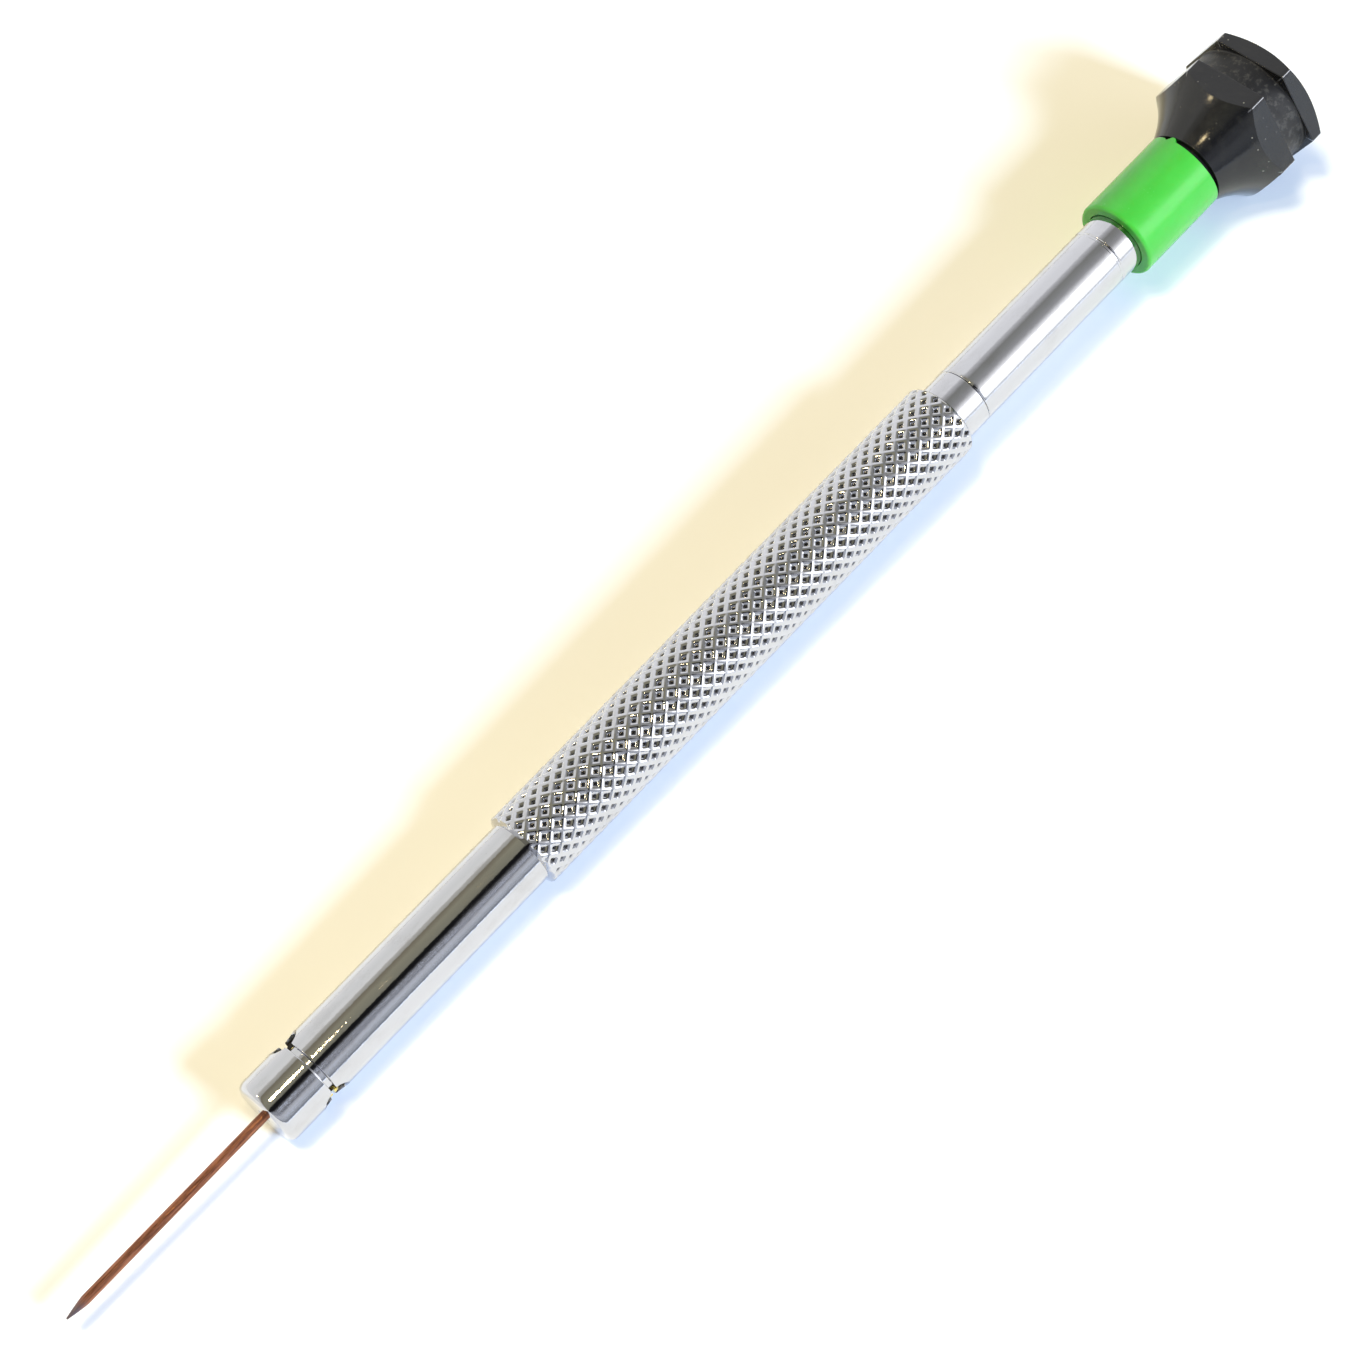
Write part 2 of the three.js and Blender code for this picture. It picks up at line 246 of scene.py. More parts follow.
def turned(rows, angles, place=ALONG_TOOL):
    """Carry an outline round an axis: out * cos(angle) sideways and out * sin(angle) up."""
    origin, ahead, side, up = (np.array(v, float) for v in place)
    along = rows[..., 0:1] * MM
    out = rows[..., 1] * MM
    cos = (out * np.cos(angles))[..., None]
    sin = (out * np.sin(angles))[..., None]
    return origin + along * ahead + cos * side + sin * up


def turned_piece(name, points, place=ALONG_TOOL, count=ROUND):
    """A plain turned part from its outline."""
    return skin(name, turned(outline(points), around(count), place))


def cut(piece, cutter):
    """Take the cutter's space away from a piece, and remove the cutter."""
    boolean = piece.modifiers.new("cut", "BOOLEAN")
    boolean.operation = "DIFFERENCE"
    boolean.solver = "EXACT"
    boolean.object = cutter
    bpy.context.view_layer.update()
    after = piece.evaluated_get(bpy.context.evaluated_depsgraph_get())
    mesh = bpy.data.meshes.new_from_object(after)
    piece.modifiers.clear()
    piece.data = finish_mesh(mesh)
    bpy.data.objects.remove(cutter)


def store_attribute(mesh, name, values):
    """Keep one number for each vertex."""
    attribute = mesh.attributes.new(name, "FLOAT", "POINT")
    attribute.data.foreach_set("value", values.astype(np.float32))


def vertex_places(mesh):
    """Each vertex's place: millimetres along from the tip and out from the axis, and its angle."""
    flat = np.empty(len(mesh.vertices) * 3, np.float32)
    mesh.vertices.foreach_get("co", flat)
    at = flat.reshape(-1, 3)
    along = (at[:, 0] - TIP) / MM
    sideways = at[:, 1] / MM
    up = (at[:, 2] - AXIS_Z) / MM
    return along, np.hypot(sideways, up), np.arctan2(up, sideways)


def fit(piece, body, slot, material, *nodes):
    """Put a piece on its CAD body, in place of its nodes, with its finish."""
    piece.data.name = piece.name
    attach(piece, body)
    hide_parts(*nodes)
    piece.data.materials.clear()
    piece.data.materials.append(material)
    print(f"{piece.name}: {len(piece.data.polygons)} faces")


# %% [markdown]
# ## Node groups that the finishes share
#
# Three small effects make a clean surface look handled: fine lines left by the lathe or the
# drawing die, soft smears of skin grease that dull the shine in patches, and sparse tiny specks.
# Each is a node group that puts out only a mask or a height, so that the shader itself stays in
# each material.

# %% Helpers for node trees
EVENLY = (1, 1, 1)


def new_group(name, inputs, outputs):
    """An empty shader node group with named sockets; inputs maps names to default numbers."""
    tree = bpy.data.node_groups.new(name, "ShaderNodeTree")
    for label, value in inputs.items():
        socket = tree.interface.new_socket(label, in_out="INPUT", socket_type="NodeSocketFloat")
        socket.default_value = value
    for label in outputs:
        tree.interface.new_socket(label, in_out="OUTPUT", socket_type="NodeSocketFloat")
    return tree, tree.nodes.new("NodeGroupInput"), tree.nodes.new("NodeGroupOutput")


def add(tree, kind, **settings):
    """A new node with its settings."""
    node = tree.nodes.new(kind)
    for key, value in settings.items():
        setattr(node, key, value)
    return node


def feed(tree, socket, value):
    """Fill an input with a number or a colour, or link another node's socket to it."""
    if isinstance(value, tuple):
        socket.default_value = (*value, 1)
    elif isinstance(value, (int, float)):
        socket.default_value = value
    else:
        tree.links.new(value, socket)


def combine(tree, operation, *values):
    """The result of a maths node, whose values are numbers or sockets."""
    node = add(tree, "ShaderNodeMath", operation=operation)
    for socket, value in zip(node.inputs, values):
        feed(tree, socket, value)
    return node.outputs[0]


def coordinate(tree, kind="Object"):
    """The three parts of a place on the object, or of a direction in the world."""
    where = add(tree, "ShaderNodeTexCoord")
    split = add(tree, "ShaderNodeSeparateXYZ")
    tree.links.new(where.outputs[kind], split.inputs["Vector"])
    return split.outputs


def stretched_noise(tree, squeeze, scale, detail=3.0, rough=0.55):
    """Noise on the object's own coordinates, drawn out along the axes with small squeeze."""
    where = add(tree, "ShaderNodeTexCoord")
    turn = add(tree, "ShaderNodeMapping")
    turn.inputs["Scale"].default_value = squeeze
    noise = add(tree, "ShaderNodeTexNoise")
    noise.inputs["Scale"].default_value = scale
    noise.inputs["Detail"].default_value = detail
    noise.inputs["Roughness"].default_value = rough
    tree.links.new(where.outputs["Object"], turn.inputs["Vector"])
    tree.links.new(turn.outputs["Vector"], noise.inputs["Vector"])
    return noise


def ramp(tree, source, low, high):
    """Maps a value smoothly so that low and below give 0, and high and above give 1."""
    node = add(tree, "ShaderNodeMapRange")
    node.interpolation_type = "SMOOTHSTEP"
    node.inputs["From Min"].default_value = low
    node.inputs["From Max"].default_value = high
    tree.links.new(source, node.inputs["Value"])
    return node.outputs["Result"]


# %% Smears, specks and drawn lines


def make_smears():
    """Patches of skin grease: broad noise drawn out round the tool, thresholded softly."""
    tree, given, out = new_group("Smears", {"Amount": 1.0}, ["Mask"])
    noise = stretched_noise(tree, (0.6, 1.0, 1.0), 650.0, detail=5.0, rough=0.66)
    mask = ramp(tree, noise.outputs["Fac"], 0.45, 0.72)
    amount = combine(tree, "MULTIPLY", mask, given.outputs["Amount"])
    tree.links.new(amount, out.inputs["Mask"])
    return tree


def make_specks():
    """Sparse dust and tiny nicks: the cores of Voronoi cells, most of them left out by noise."""
    tree, given, out = new_group("Specks", {"Amount": 1.0}, ["Mask"])
    where = add(tree, "ShaderNodeTexCoord")
    cells = add(tree, "ShaderNodeTexVoronoi")
    cells.inputs["Scale"].default_value = 2600.0
    tree.links.new(where.outputs["Object"], cells.inputs["Vector"])
    core = ramp(tree, cells.outputs["Distance"], 0.2, 0.06)
    few = ramp(tree, stretched_noise(tree, EVENLY, 700.0).outputs["Fac"], 0.56, 0.66)
    both = combine(tree, "MULTIPLY", core, few)
    amount = combine(tree, "MULTIPLY", both, given.outputs["Amount"])
    tree.links.new(amount, out.inputs["Mask"])
    return tree


def make_lines(name, squeeze, scale):
    """Fine parallel lines: noise squeezed hard across them and drawn out along them."""
    tree, given, out = new_group(name, {"Strength": 1.0}, ["Height"])
    noise = stretched_noise(tree, squeeze, scale, detail=2.0)
    height = combine(tree, "MULTIPLY", noise.outputs["Fac"], given.outputs["Strength"])
    tree.links.new(height, out.inputs["Height"])
    return tree


smears = make_smears()
specks = make_specks()
lathe_lines = make_lines("Lathe lines", (1.0, 0.02, 0.02), 14000.0)
drawn_lines = make_lines("Drawn lines", (0.03, 1.0, 1.0), 9000.0)

# %% [markdown]
# ## Finishes
#
# Every finish starts from the Principled shader with its uniform values set on the shader's own
# sockets. What changes over the surface is linked: colour and roughness blend between two
# values by a mask from the groups above, and a bump carries the fine lines.

# %% Building blocks for a material


def new_material(name, **values):
    """A Principled material; values are set on the shader's sockets by name."""
    material = bpy.data.materials.new(name)
    material.use_nodes = True
    tree = material.node_tree
    shader = next(n for n in tree.nodes if n.type == "BSDF_PRINCIPLED")
    for key, value in values.items():
        shader.inputs[key.replace("_", " ")].default_value = value
    return material, tree, shader


def use_group(tree, group, value):
    """Place a shared group in a material with its own strength."""
    node = tree.nodes.new("ShaderNodeGroup")
    node.node_tree = group
    node.inputs[0].default_value = value
    return node.outputs[0]


def blend_colours(tree, mask, dark, light):
    """Blend two colours, or a colour and a colour socket, by a mask."""
    mix = add(tree, "ShaderNodeMix", data_type="RGBA")
    tree.links.new(mask, mix.inputs["Factor"])
    feed(tree, mix.inputs[6], dark)
    feed(tree, mix.inputs[7], light)
    return mix.outputs[2]


def blend_values(tree, mask, low, high):
    """A value that runs from low to high as the mask runs from 0 to 1."""
    node = add(tree, "ShaderNodeMapRange")
    node.inputs["To Min"].default_value = low
    node.inputs["To Max"].default_value = high
    tree.links.new(mask, node.inputs["Value"])
    return node.outputs["Result"]


def add_bump(tree, shader, height, strength, distance):
    """Tilt the shading normal by a height; distance is what a height of 1 stands for."""
    bump = add(tree, "ShaderNodeBump")
    bump.inputs["Strength"].default_value = strength
    bump.inputs["Distance"].default_value = distance
    tree.links.new(height, bump.inputs["Height"])
    tree.links.new(bump.outputs["Normal"], shader.inputs["Normal"])


# %% Metals
BUMP_HEIGHT = 0.00001
# The dark colour below is painted shade, blended into recesses such as countersinks and knurl pits.
RECESS_SHADE = (0.035, 0.032, 0.028)
RECESS_DULLS = 0.4


def make_metal(name, clean, dull, shine, lines, strength, peel=0.0):
    """A polished or drawn metal: smears and specks dull it, and fine lines run across it.

    Clean and dull are its two colours, and shine holds the roughness of each. Plating also has
    peel, a faint unevenness like an orange's skin, which makes straight reflections waver. Where
    a piece has a recess attribute, it is darkened with painted shade and made rougher.
    """
    material, tree, shader = new_material(name, Metallic=1.0)
    smear_mask = use_group(tree, smears, 1.0)
    speck_mask = use_group(tree, specks, 0.8)
    either = combine(tree, "MAXIMUM", smear_mask, speck_mask)
    recess = add(tree, "ShaderNodeAttribute", attribute_name="recess").outputs["Fac"]
    colour = blend_colours(tree, either, clean, dull)
    # Painted shade: the recess attribute blends the colour towards the dark recess colour.
    shaded_in_recess = blend_colours(tree, recess, colour, RECESS_SHADE)
    tree.links.new(shaded_in_recess, shader.inputs["Base Color"])
    metal_shine = blend_values(tree, either, *shine)
    dulled = combine(tree, "MULTIPLY_ADD", recess, RECESS_DULLS, metal_shine)
    tree.links.new(dulled, shader.inputs["Roughness"])
    skin_noise = stretched_noise(tree, EVENLY, 3200.0, detail=3.0)
    line_height = use_group(tree, lines, 1.0)
    height = combine(tree, "MULTIPLY_ADD", skin_noise.outputs["Fac"], peel, line_height)
    add_bump(tree, shader, height, strength, BUMP_HEIGHT)
    return material


chrome = make_metal(
    "Chrome", (0.58, 0.585, 0.62), (0.53, 0.53, 0.555), (0.03, 0.14), lathe_lines, 0.08, peel=5.0
)
brass = make_metal(
    "Brass", (0.80, 0.62, 0.16), (0.55, 0.42, 0.12), (0.18, 0.42), lathe_lines, 0.3
)
steel = make_metal(
    "Bearing steel", (0.60, 0.61, 0.63), (0.42, 0.42, 0.44), (0.14, 0.3), lathe_lines, 0.2
)
bronze = make_metal(
    "Oiled bronze", (0.55, 0.34, 0.17), (0.33, 0.2, 0.1), (0.3, 0.55), lathe_lines, 0.3
)
spring = make_metal(
    "Blued spring steel", (0.16, 0.18, 0.24), (0.1, 0.1, 0.12), (0.22, 0.4), drawn_lines, 0.3
)

# %% [markdown]
# The blade is hardened and drawn back to brown. Its colour is an oxide film, so it varies in
# streaks along the rod, and the two ground faces at the tip have lost it and show grey steel.
# The mask for the tip reads the object's own X, which is the place along the tool, so the spare
# blades, which lie further back, stay brown.

# %% Tempered blade steel
GROUND_START, GROUND_END = 0.5, 1.7


def make_blade_steel():
    """Brown streaks along the rod, blended to ground grey within the wedge at the tip."""
    material, tree, shader = new_material("Tempered blade steel", Metallic=0.85)
    streaks = stretched_noise(tree, (0.06, 1.0, 1.0), 9000.0, detail=6.0, rough=0.75)
    streak_mask = ramp(tree, streaks.outputs["Fac"], 0.34, 0.66)
    brown = blend_colours(tree, streak_mask, (0.115, 0.042, 0.024), (0.42, 0.17, 0.095))
    x = coordinate(tree)["X"]
    ground = ramp(tree, x, TIP + GROUND_END * MM, TIP + GROUND_START * MM)
    colour = blend_colours(tree, ground, brown, (0.19, 0.15, 0.17))
    tree.links.new(colour, shader.inputs["Base Color"])
    tree.links.new(blend_values(tree, streak_mask, 0.44, 0.3), shader.inputs["Roughness"])
    add_bump(tree, shader, use_group(tree, drawn_lines, 1.0), 0.35, BUMP_HEIGHT)
    return material


blade_steel = make_blade_steel()

# %% [markdown]
# The ring is moulded plastic in one bright green. Light goes a little way into it, so a touch of
# subsurface scattering keeps its shadows green. The head is a glossy black, worn by fingers and
# bench: its colour is nearly uniform, and what shows the wear is a roughness that changes over
# its flats, with fine scratches and a few pale nicks.

# %% Plastics and the black head
WAIST_FADE = 0.06
WAIST_DULLS = 0.38
BARE_METAL = (0.36, 0.36, 0.38)


def make_green():
    """Moulded plastic with a faint unevenness in colour and shine."""
    material, tree, shader = new_material(
        "Green plastic", Subsurface_Weight=0.15, Subsurface_Scale=0.0006, IOR=1.49
    )
    cloud = stretched_noise(tree, EVENLY, 900.0, detail=3.0)
    mask = ramp(tree, cloud.outputs["Fac"], 0.35, 0.7)
    colour = blend_colours(tree, mask, (0.048, 0.39, 0.036), (0.053, 0.41, 0.041))
    speck_mask = use_group(tree, specks, 0.25)
    flecked = blend_colours(tree, speck_mask, colour, (0.25, 0.6, 0.22))
    tree.links.new(flecked, shader.inputs["Base Color"])
    tree.links.new(blend_values(tree, mask, 0.19, 0.25), shader.inputs["Roughness"])
    fine = stretched_noise(tree, EVENLY, 6000.0, detail=2.0)
    add_bump(tree, shader, fine.outputs["Fac"], 0.12, BUMP_HEIGHT)
    return material


def make_black():
    """Glossy black: duller patches, a dirty rough waist, pale nicks, and bright worn edges.

    The waist's mask is 1 between its two walls along the tool. The edge mask is the edge
    attribute broken up by noise, and turns the black finish to the bright metal under it.
    """
    material, tree, shader = new_material("Black head", IOR=1.5)
    x = coordinate(tree)["X"]
    rise = ramp(tree, x, TIP + WAIST_START * MM, TIP + (WAIST_START + WAIST_FADE) * MM)
    fall = ramp(tree, x, TIP + WAIST_END * MM, TIP + (WAIST_END - WAIST_FADE) * MM)
    waist = combine(tree, "MULTIPLY", rise, fall)
    patches = stretched_noise(tree, EVENLY, 900.0, detail=6.0, rough=0.62)
    worn = ramp(tree, patches.outputs["Fac"], 0.48, 0.72)
    dirt = stretched_noise(tree, EVENLY, 2300.0, detail=5.0, rough=0.7)
    dirty = ramp(tree, dirt.outputs["Fac"], 0.5, 0.64)
    black = blend_colours(tree, worn, (0.0075, 0.0075, 0.0085), (0.014, 0.0135, 0.013))
    grime = blend_colours(tree, dirty, (0.006, 0.006, 0.007), (0.035, 0.033, 0.03))
    body = blend_colours(tree, waist, black, grime)
    speck_mask = use_group(tree, specks, 0.6)
    flecked = blend_colours(tree, speck_mask, body, (0.3, 0.28, 0.22))
    edge = add(tree, "ShaderNodeAttribute", attribute_name="edge").outputs["Fac"]
    bitten = ramp(tree, dirt.outputs["Fac"], 0.34, 0.46)
    bare = combine(tree, "MULTIPLY", edge, bitten)
    colour = blend_colours(tree, bare, flecked, BARE_METAL)
    tree.links.new(colour, shader.inputs["Base Color"])
    tree.links.new(bare, shader.inputs["Metallic"])
    gloss = blend_values(tree, worn, 0.13, 0.22)
    dulled = combine(tree, "MULTIPLY_ADD", waist, WAIST_DULLS, gloss)
    tree.links.new(dulled, shader.inputs["Roughness"])
    scratches = stretched_noise(tree, (1.0, 0.3, 0.3), 4200.0, detail=5.0, rough=0.7).outputs["Fac"]
    height = combine(tree, "MULTIPLY_ADD", dirt.outputs["Fac"], waist, scratches)
    add_bump(tree, shader, height, 0.3, 2 * BUMP_HEIGHT)
    return material


green_plastic = make_green()
black_head = make_black()

# %% [markdown]
# ## The handle
#
# The handle is one chrome bar: a collar at the nose, a groove that carries the clamp screws'
# cross hole, a plain barrel, the grip, and a plain neck at the back. It is hollow for the blade,
# for spare blades, and for the rear shaft's screwed end, and the CAD model has those hollows
# too, so the outline here runs from the bottom of the blade's bore, out over the outside, and
# back to the bottom of the rear hollow, as one closed skin.
#
# The grip is diamond knurled. Two hard wheels roll crossing rows of ridges into the bar, which
# leaves a small upside-down pyramid between every four crossings. Displacing a smooth tube with
# a texture would blur these edges, so the grid itself carries them: its rows and columns are
# spaced so that every ridge runs exactly along the grid's diagonals.

# %% The knurl, as a height over the grip
TEETH = 16
TOOTH_STEPS = 12
KNURL_PITCH = 1.095
KNURL_DEPTH = 0.28
CREST = 0.3
CREST_CROWN = 0.3
GRIP_START, GRIP_STOP = 36.8, 75.0
GRIP_CHAMFER = 0.16
GRIP_END_ROUND = 0.42
FADE_LENGTH = 0.3
BARREL_R, NECK_R = 2.18, 2.075


def ridge(place):
    """One wheel's height, from 1 on a ridge to 0 halfway between two.

    With u the distance to the nearest whole number, the crest is a low parabola for u up to
    CREST, and from there the height falls evenly to 0 at a half.
    """
    u = np.abs((place + 0.5) % 1 - 0.5)
    crest = 1 - CREST_CROWN * (u / CREST) ** 2
    flank = (1 - CREST_CROWN) * (0.5 - u) / (0.5 - CREST)
    return np.where(u < CREST, crest, flank)


def knurl_pits(column, row):
    """How deep the knurl is, from 0 on a ridge to 1 in a pit, and whose ridge is the higher.

    The ridges of the two wheels run where (column + row) / n or (column - row) / n is a whole
    number, for n steps in a tooth, and at each point the higher of the two wins.
    """
    height_a = ridge((column + row) / TOOTH_STEPS)
    height_b = ridge((column - row) / TOOTH_STEPS)
    return 1 - np.maximum(height_a, height_b), height_a > height_b


def grip_envelope(x):
    """The grip's outer radius: a chamfer up from the barrel, then round over at the back."""
    front = BARREL_R + (GRIP_R - BARREL_R) * np.clip((x - GRIP_START) / GRIP_CHAMFER, 0, 1)
    into_end = np.clip((x - (GRIP_STOP - GRIP_END_ROUND)) / GRIP_END_ROUND, 0, 1)
    drop = 1 - np.sqrt(np.maximum(1 - into_end**2, 0))
    return np.minimum(front, GRIP_R - (GRIP_R - NECK_R) * drop)


knurl_columns = TEETH * TOOTH_STEPS
step_along = KNURL_PITCH / TOOTH_STEPS
whole_rows = np.arange(int((GRIP_STOP - GRIP_START) / step_along))
last_rows = (GRIP_STOP - GRIP_START) / step_along - np.array([0.6, 0.3, 0.12, 0.0])
knurl_rows = np.append(whole_rows, last_rows[last_rows > whole_rows[-1] + 0.05])
grip_x = GRIP_START + knurl_rows * step_along
pits = knurl_pits(np.arange(knurl_columns)[None, :], knurl_rows[:, None])[0]
fade = np.clip((grip_x - GRIP_START) / FADE_LENGTH, 0, 1)[:, None]
cut_r = GRIP_R - KNURL_DEPTH * np.sqrt(fade) * pits
grip_r = np.minimum(grip_envelope(grip_x)[:, None], cut_r)
grip_rows = np.stack([np.repeat(grip_x[:, None], knurl_columns, 1), grip_r], -1)
print(f"knurl: {TEETH} teeth, {len(grip_x)} rows of {knurl_columns}")

# %% The rest of the handle's outline
BORE_R, BORE_END = 0.36, 25.7
MAGAZINE_R, MAGAZINE_START = 1.2, 40.0
SOCKET_R, SOCKET_START = 1.56, 71.0
COLLAR_R = 2.25
NOSE_ROUND = 0.5
HOLE_X = 19.15
GROOVE_HALF = 0.19
GROOVE_R = 1.9
EDGE = 0.05

front_points = [
    (BORE_END + BORE_R / 2, 0),
    (BORE_END, BORE_R),
    (NOSE + 0.12, BORE_R, 0.03),
    (NOSE, BORE_R + 0.12, 0.03),
    (NOSE, COLLAR_R, NOSE_ROUND),
    (HOLE_X - GROOVE_HALF, COLLAR_R, 0.07),
    (HOLE_X - GROOVE_HALF, GROOVE_R, EDGE),
    (HOLE_X + GROOVE_HALF, GROOVE_R, EDGE),
    (HOLE_X + GROOVE_HALF, BARREL_R, 0.07),
    (GRIP_START - 12, BARREL_R),
    (GRIP_START - 0.02, BARREL_R),
]
back_points = [
    (GRIP_STOP, NECK_R + 0.01),
    (GRIP_STOP + 0.01, NECK_R),
    (HANDLE_END, NECK_R, 0.09),
    (HANDLE_END, SOCKET_R + 0.15, EDGE),
    (HANDLE_END - 0.15, SOCKET_R),
    (SOCKET_START, SOCKET_R),
    (SOCKET_START, MAGAZINE_R),
    (MAGAZINE_START, MAGAZINE_R),
    (MAGAZINE_START - MAGAZINE_R / 2, 0),
]
front_rows = np.repeat(outline(front_points), knurl_columns, 1)
back_rows = np.repeat(outline(back_points), knurl_columns, 1)
handle_rows = np.concatenate([front_rows, grip_rows, back_rows])
print(f"handle outline: {len(handle_rows)} rows")

# %% [markdown]
# Which way a cell is cut in two matters: a cell on the side of a ridge is flat along that
# ridge, so its cut has to run along it too. The ridge that wins at the cell's middle decides.

# %% The handle's skin, and the cross hole for the clamp screws
grip_first = len(front_rows)
diagonals = np.zeros((len(handle_rows) - 1, knurl_columns), int)
middle = knurl_pits(np.arange(knurl_columns)[None, :] + 0.5, knurl_rows[:-1, None] + 0.5)[1]
diagonals[grip_first : grip_first + len(grip_x) - 1] = np.where(middle, 2, 1)
handle = skin("handle", turned(handle_rows, around(knurl_columns)), diagonal=diagonals)

SCREW_HOLE_R = 0.55
SINK_R = 1.12
SINK_LOW_R, SINK_LOW = 1.0, 1.75
SINK_FLOOR = 1.35
SINK_ROLLS = ((1, math.radians(34)), (-1, math.radians(19)))


def across_tool(side, roll=ROLL):
    """Where a clamp screw stands: at the groove, pointing out sideways, turned by roll."""
    out = (0, side * math.cos(roll), side * math.sin(roll))
    tangent = (1, 0, 0)
    third = tuple(np.cross(out, tangent))
    return ((TIP + HOLE_X * MM, 0, AXIS_Z), out, tangent, third)


beyond = COLLAR_R + 0.5
hole_points = [
    (-beyond, 0),
    (-beyond, SCREW_HOLE_R),
    (beyond, SCREW_HOLE_R),
    (beyond, 0),
]
sink_points = [
    (SINK_FLOOR, 0),
    (SINK_FLOOR, SCREW_HOLE_R),
    (SINK_LOW, SINK_LOW_R, EDGE),
    (beyond, SINK_R),
    (beyond, 0),
]
for side, roll in SINK_ROLLS:
    cut(handle, turned_piece("sink", sink_points, across_tool(side, roll), count=64))
cut(handle, turned_piece("cross_hole", hole_points, across_tool(1), count=48))

# %% [markdown]
# Each countersink is turned a few degrees round the tool from its hole, and has steep walls.
# Each vertex keeps whether it lies inside the countersink and below the outer surface, and
# the chrome there is dulled and darkened with painted shade. The same number paints shade
# into the bottoms of the knurl's pits, deeper pits darker.

# %% A recess attribute on the handle
along, out, angle = vertex_places(handle.data)
# Painted shade inside each countersink, below the outer surface.
recess = np.zeros(len(along))
for side, roll in SINK_ROLLS:
    from_hole = np.hypot(along - HOLE_X, out * np.sin(angle - roll))
    in_sink = (from_hole < SINK_R + 0.01) & (side * np.cos(angle - roll) > 0.4)
    below = (out < BARREL_R - 0.02) & (out > SCREW_HOLE_R)
    on_groove_floor = (np.abs(out - GROOVE_R) < 0.02) & (from_hole > SINK_LOW_R)
    recess[in_sink & below & ~on_groove_floor] = 1
# Painted shade in the knurl: the deeper a pit, the darker its chrome is painted.
in_grip = (along > GRIP_START + 0.4) & (along < GRIP_STOP) & (out > NECK_R)
pit_depth = np.clip((GRIP_R - out) / KNURL_DEPTH * 1.25 - 0.25, 0, 1)
recess = np.where(in_grip, 0.85 * pit_depth, recess)
store_attribute(handle.data, "recess", recess)
fit(handle, "handle", "chrome", chrome, "handle_body")

# %% [markdown]
# ## The blade and its spares
#
# A blade is a plain rod whose tip is ground on two sides to a thin straight edge. Seen end on,
# each cross-section near the tip is a circle with two sides cut flat, so in a given direction
# the surface is at the rod's radius or at the flat, whichever is nearer to the axis.

# %% The blade as one surface
BLADE_R = radius_of("blade")
BLADE_LENGTH = span("blade")[1]
WEDGE = 1.45
WEDGE_EDGE = 0.1
WEDGE_BULGE = 0.22


def wedge_half(x):
    """Half of the wedge's thickness: even growth with the length, swollen a little midway."""
    t = np.clip(x / WEDGE, 0, 1)
    return WEDGE_EDGE / 2 + (BLADE_R - WEDGE_EDGE / 2) * t * (1 + WEDGE_BULGE * (1 - t))


def blade_skin(name, start):
    """A blade with its tip at start, in metres.

    In the direction at angle u from the flats' normal, the flat lies at half / |cos u| and
    leaves the rod where half = BLADE_R |cos u|. Rows run from the tip to that line, then along
    the rod, so that the grind's edge is crisp in every direction.
    """
    corner = math.acos(WEDGE_EDGE / 2 / BLADE_R)
    flat = np.linspace(-corner, corner, 33)[:-1]
    side = np.linspace(corner, math.pi - corner, 7)[:-1]
    angles = np.concatenate([flat, side, flat + math.pi, side + math.pi])
    cos = np.maximum(np.abs(np.cos(angles)), 1e-6)
    table = np.linspace(0, WEDGE, 200)
    leaves = np.interp(BLADE_R * cos, wedge_half(table), table)
    rows = [np.stack([0 * cos, 0 * cos], -1)]
    for t in np.linspace(0, 1, 12):
        x = t * leaves
        rows.append(np.stack([x, np.minimum(BLADE_R, wedge_half(x) / cos)], -1))
    for t in np.linspace(0, 1, 7)[1:]:
        x = leaves + t * (WEDGE + 0.2 - leaves)
        rows.append(np.stack([x, BLADE_R + 0 * x], -1))
    rod = (
        (8.0, BLADE_R),
        (16.0, BLADE_R),
        (BLADE_LENGTH - 0.1, BLADE_R),
        (BLADE_LENGTH, BLADE_R - 0.1),
        (BLADE_LENGTH, 0),
    )
    for x, r in rod:
        rows.append(np.stack([x + 0 * cos, r + 0 * cos], -1))
    place = (start, *ALONG_TOOL[1:])
    return skin(name, turned(np.array(rows), angles + ROLL, place), sharp=math.radians(30))


blade = blade_skin("blade_rod", (TIP, 0, AXIS_Z))
fit(blade, "blade", "blade_steel", blade_steel, "blade")
for number in (1, 2):
    node = f"spare_blade_{number}"
    low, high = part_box(node)
    spare = blade_skin(f"spare_rod_{number}", (low.x, (low.y + high.y) / 2, (low.z + high.z) / 2))
    fit(spare, "handle", "blade_steel", blade_steel, node)

# %% [markdown]
# ## The clamp screws
#
# Two brass grub screws meet the blade from opposite sides and pinch it. Only their slotted ends
# show, deep in the countersinks. One stands a little prouder and has a domed end.

# %% Slotted grub screws
SCREW_R = 0.5
SCREW_INNER = 0.37
SLOT_WIDTH = 0.2
SLOT_DEPTH = 0.35


def slot_cutter(place, outer):
    """A flat bar across the screw's end, as an outline of four corners swept through it."""
    origin, out, tangent, third = (np.array(v, float) for v in place)
    u, v, w = np.meshgrid((-1.0, 1.0), (-1.0, 1.0), (-1.0, 1.0), indexing="ij")
    points = (
        origin
        + (outer + u[..., None] * SLOT_DEPTH) * MM * out
        + v[..., None] * SLOT_WIDTH / 2 * MM * tangent
        + w[..., None] * SCREW_R * 1.6 * MM * third
    ).reshape(-1, 3)
    faces = [(0, 1, 3, 2), (4, 6, 7, 5), (0, 4, 5, 1), (2, 3, 7, 6), (0, 2, 6, 4), (1, 5, 7, 3)]
    mesh = bpy.data.meshes.new("slot")
    mesh.from_pydata(points.tolist(), [], faces)
    cutter = bpy.data.objects.new("slot", mesh)
    scene.collection.objects.link(cutter)
    return cutter


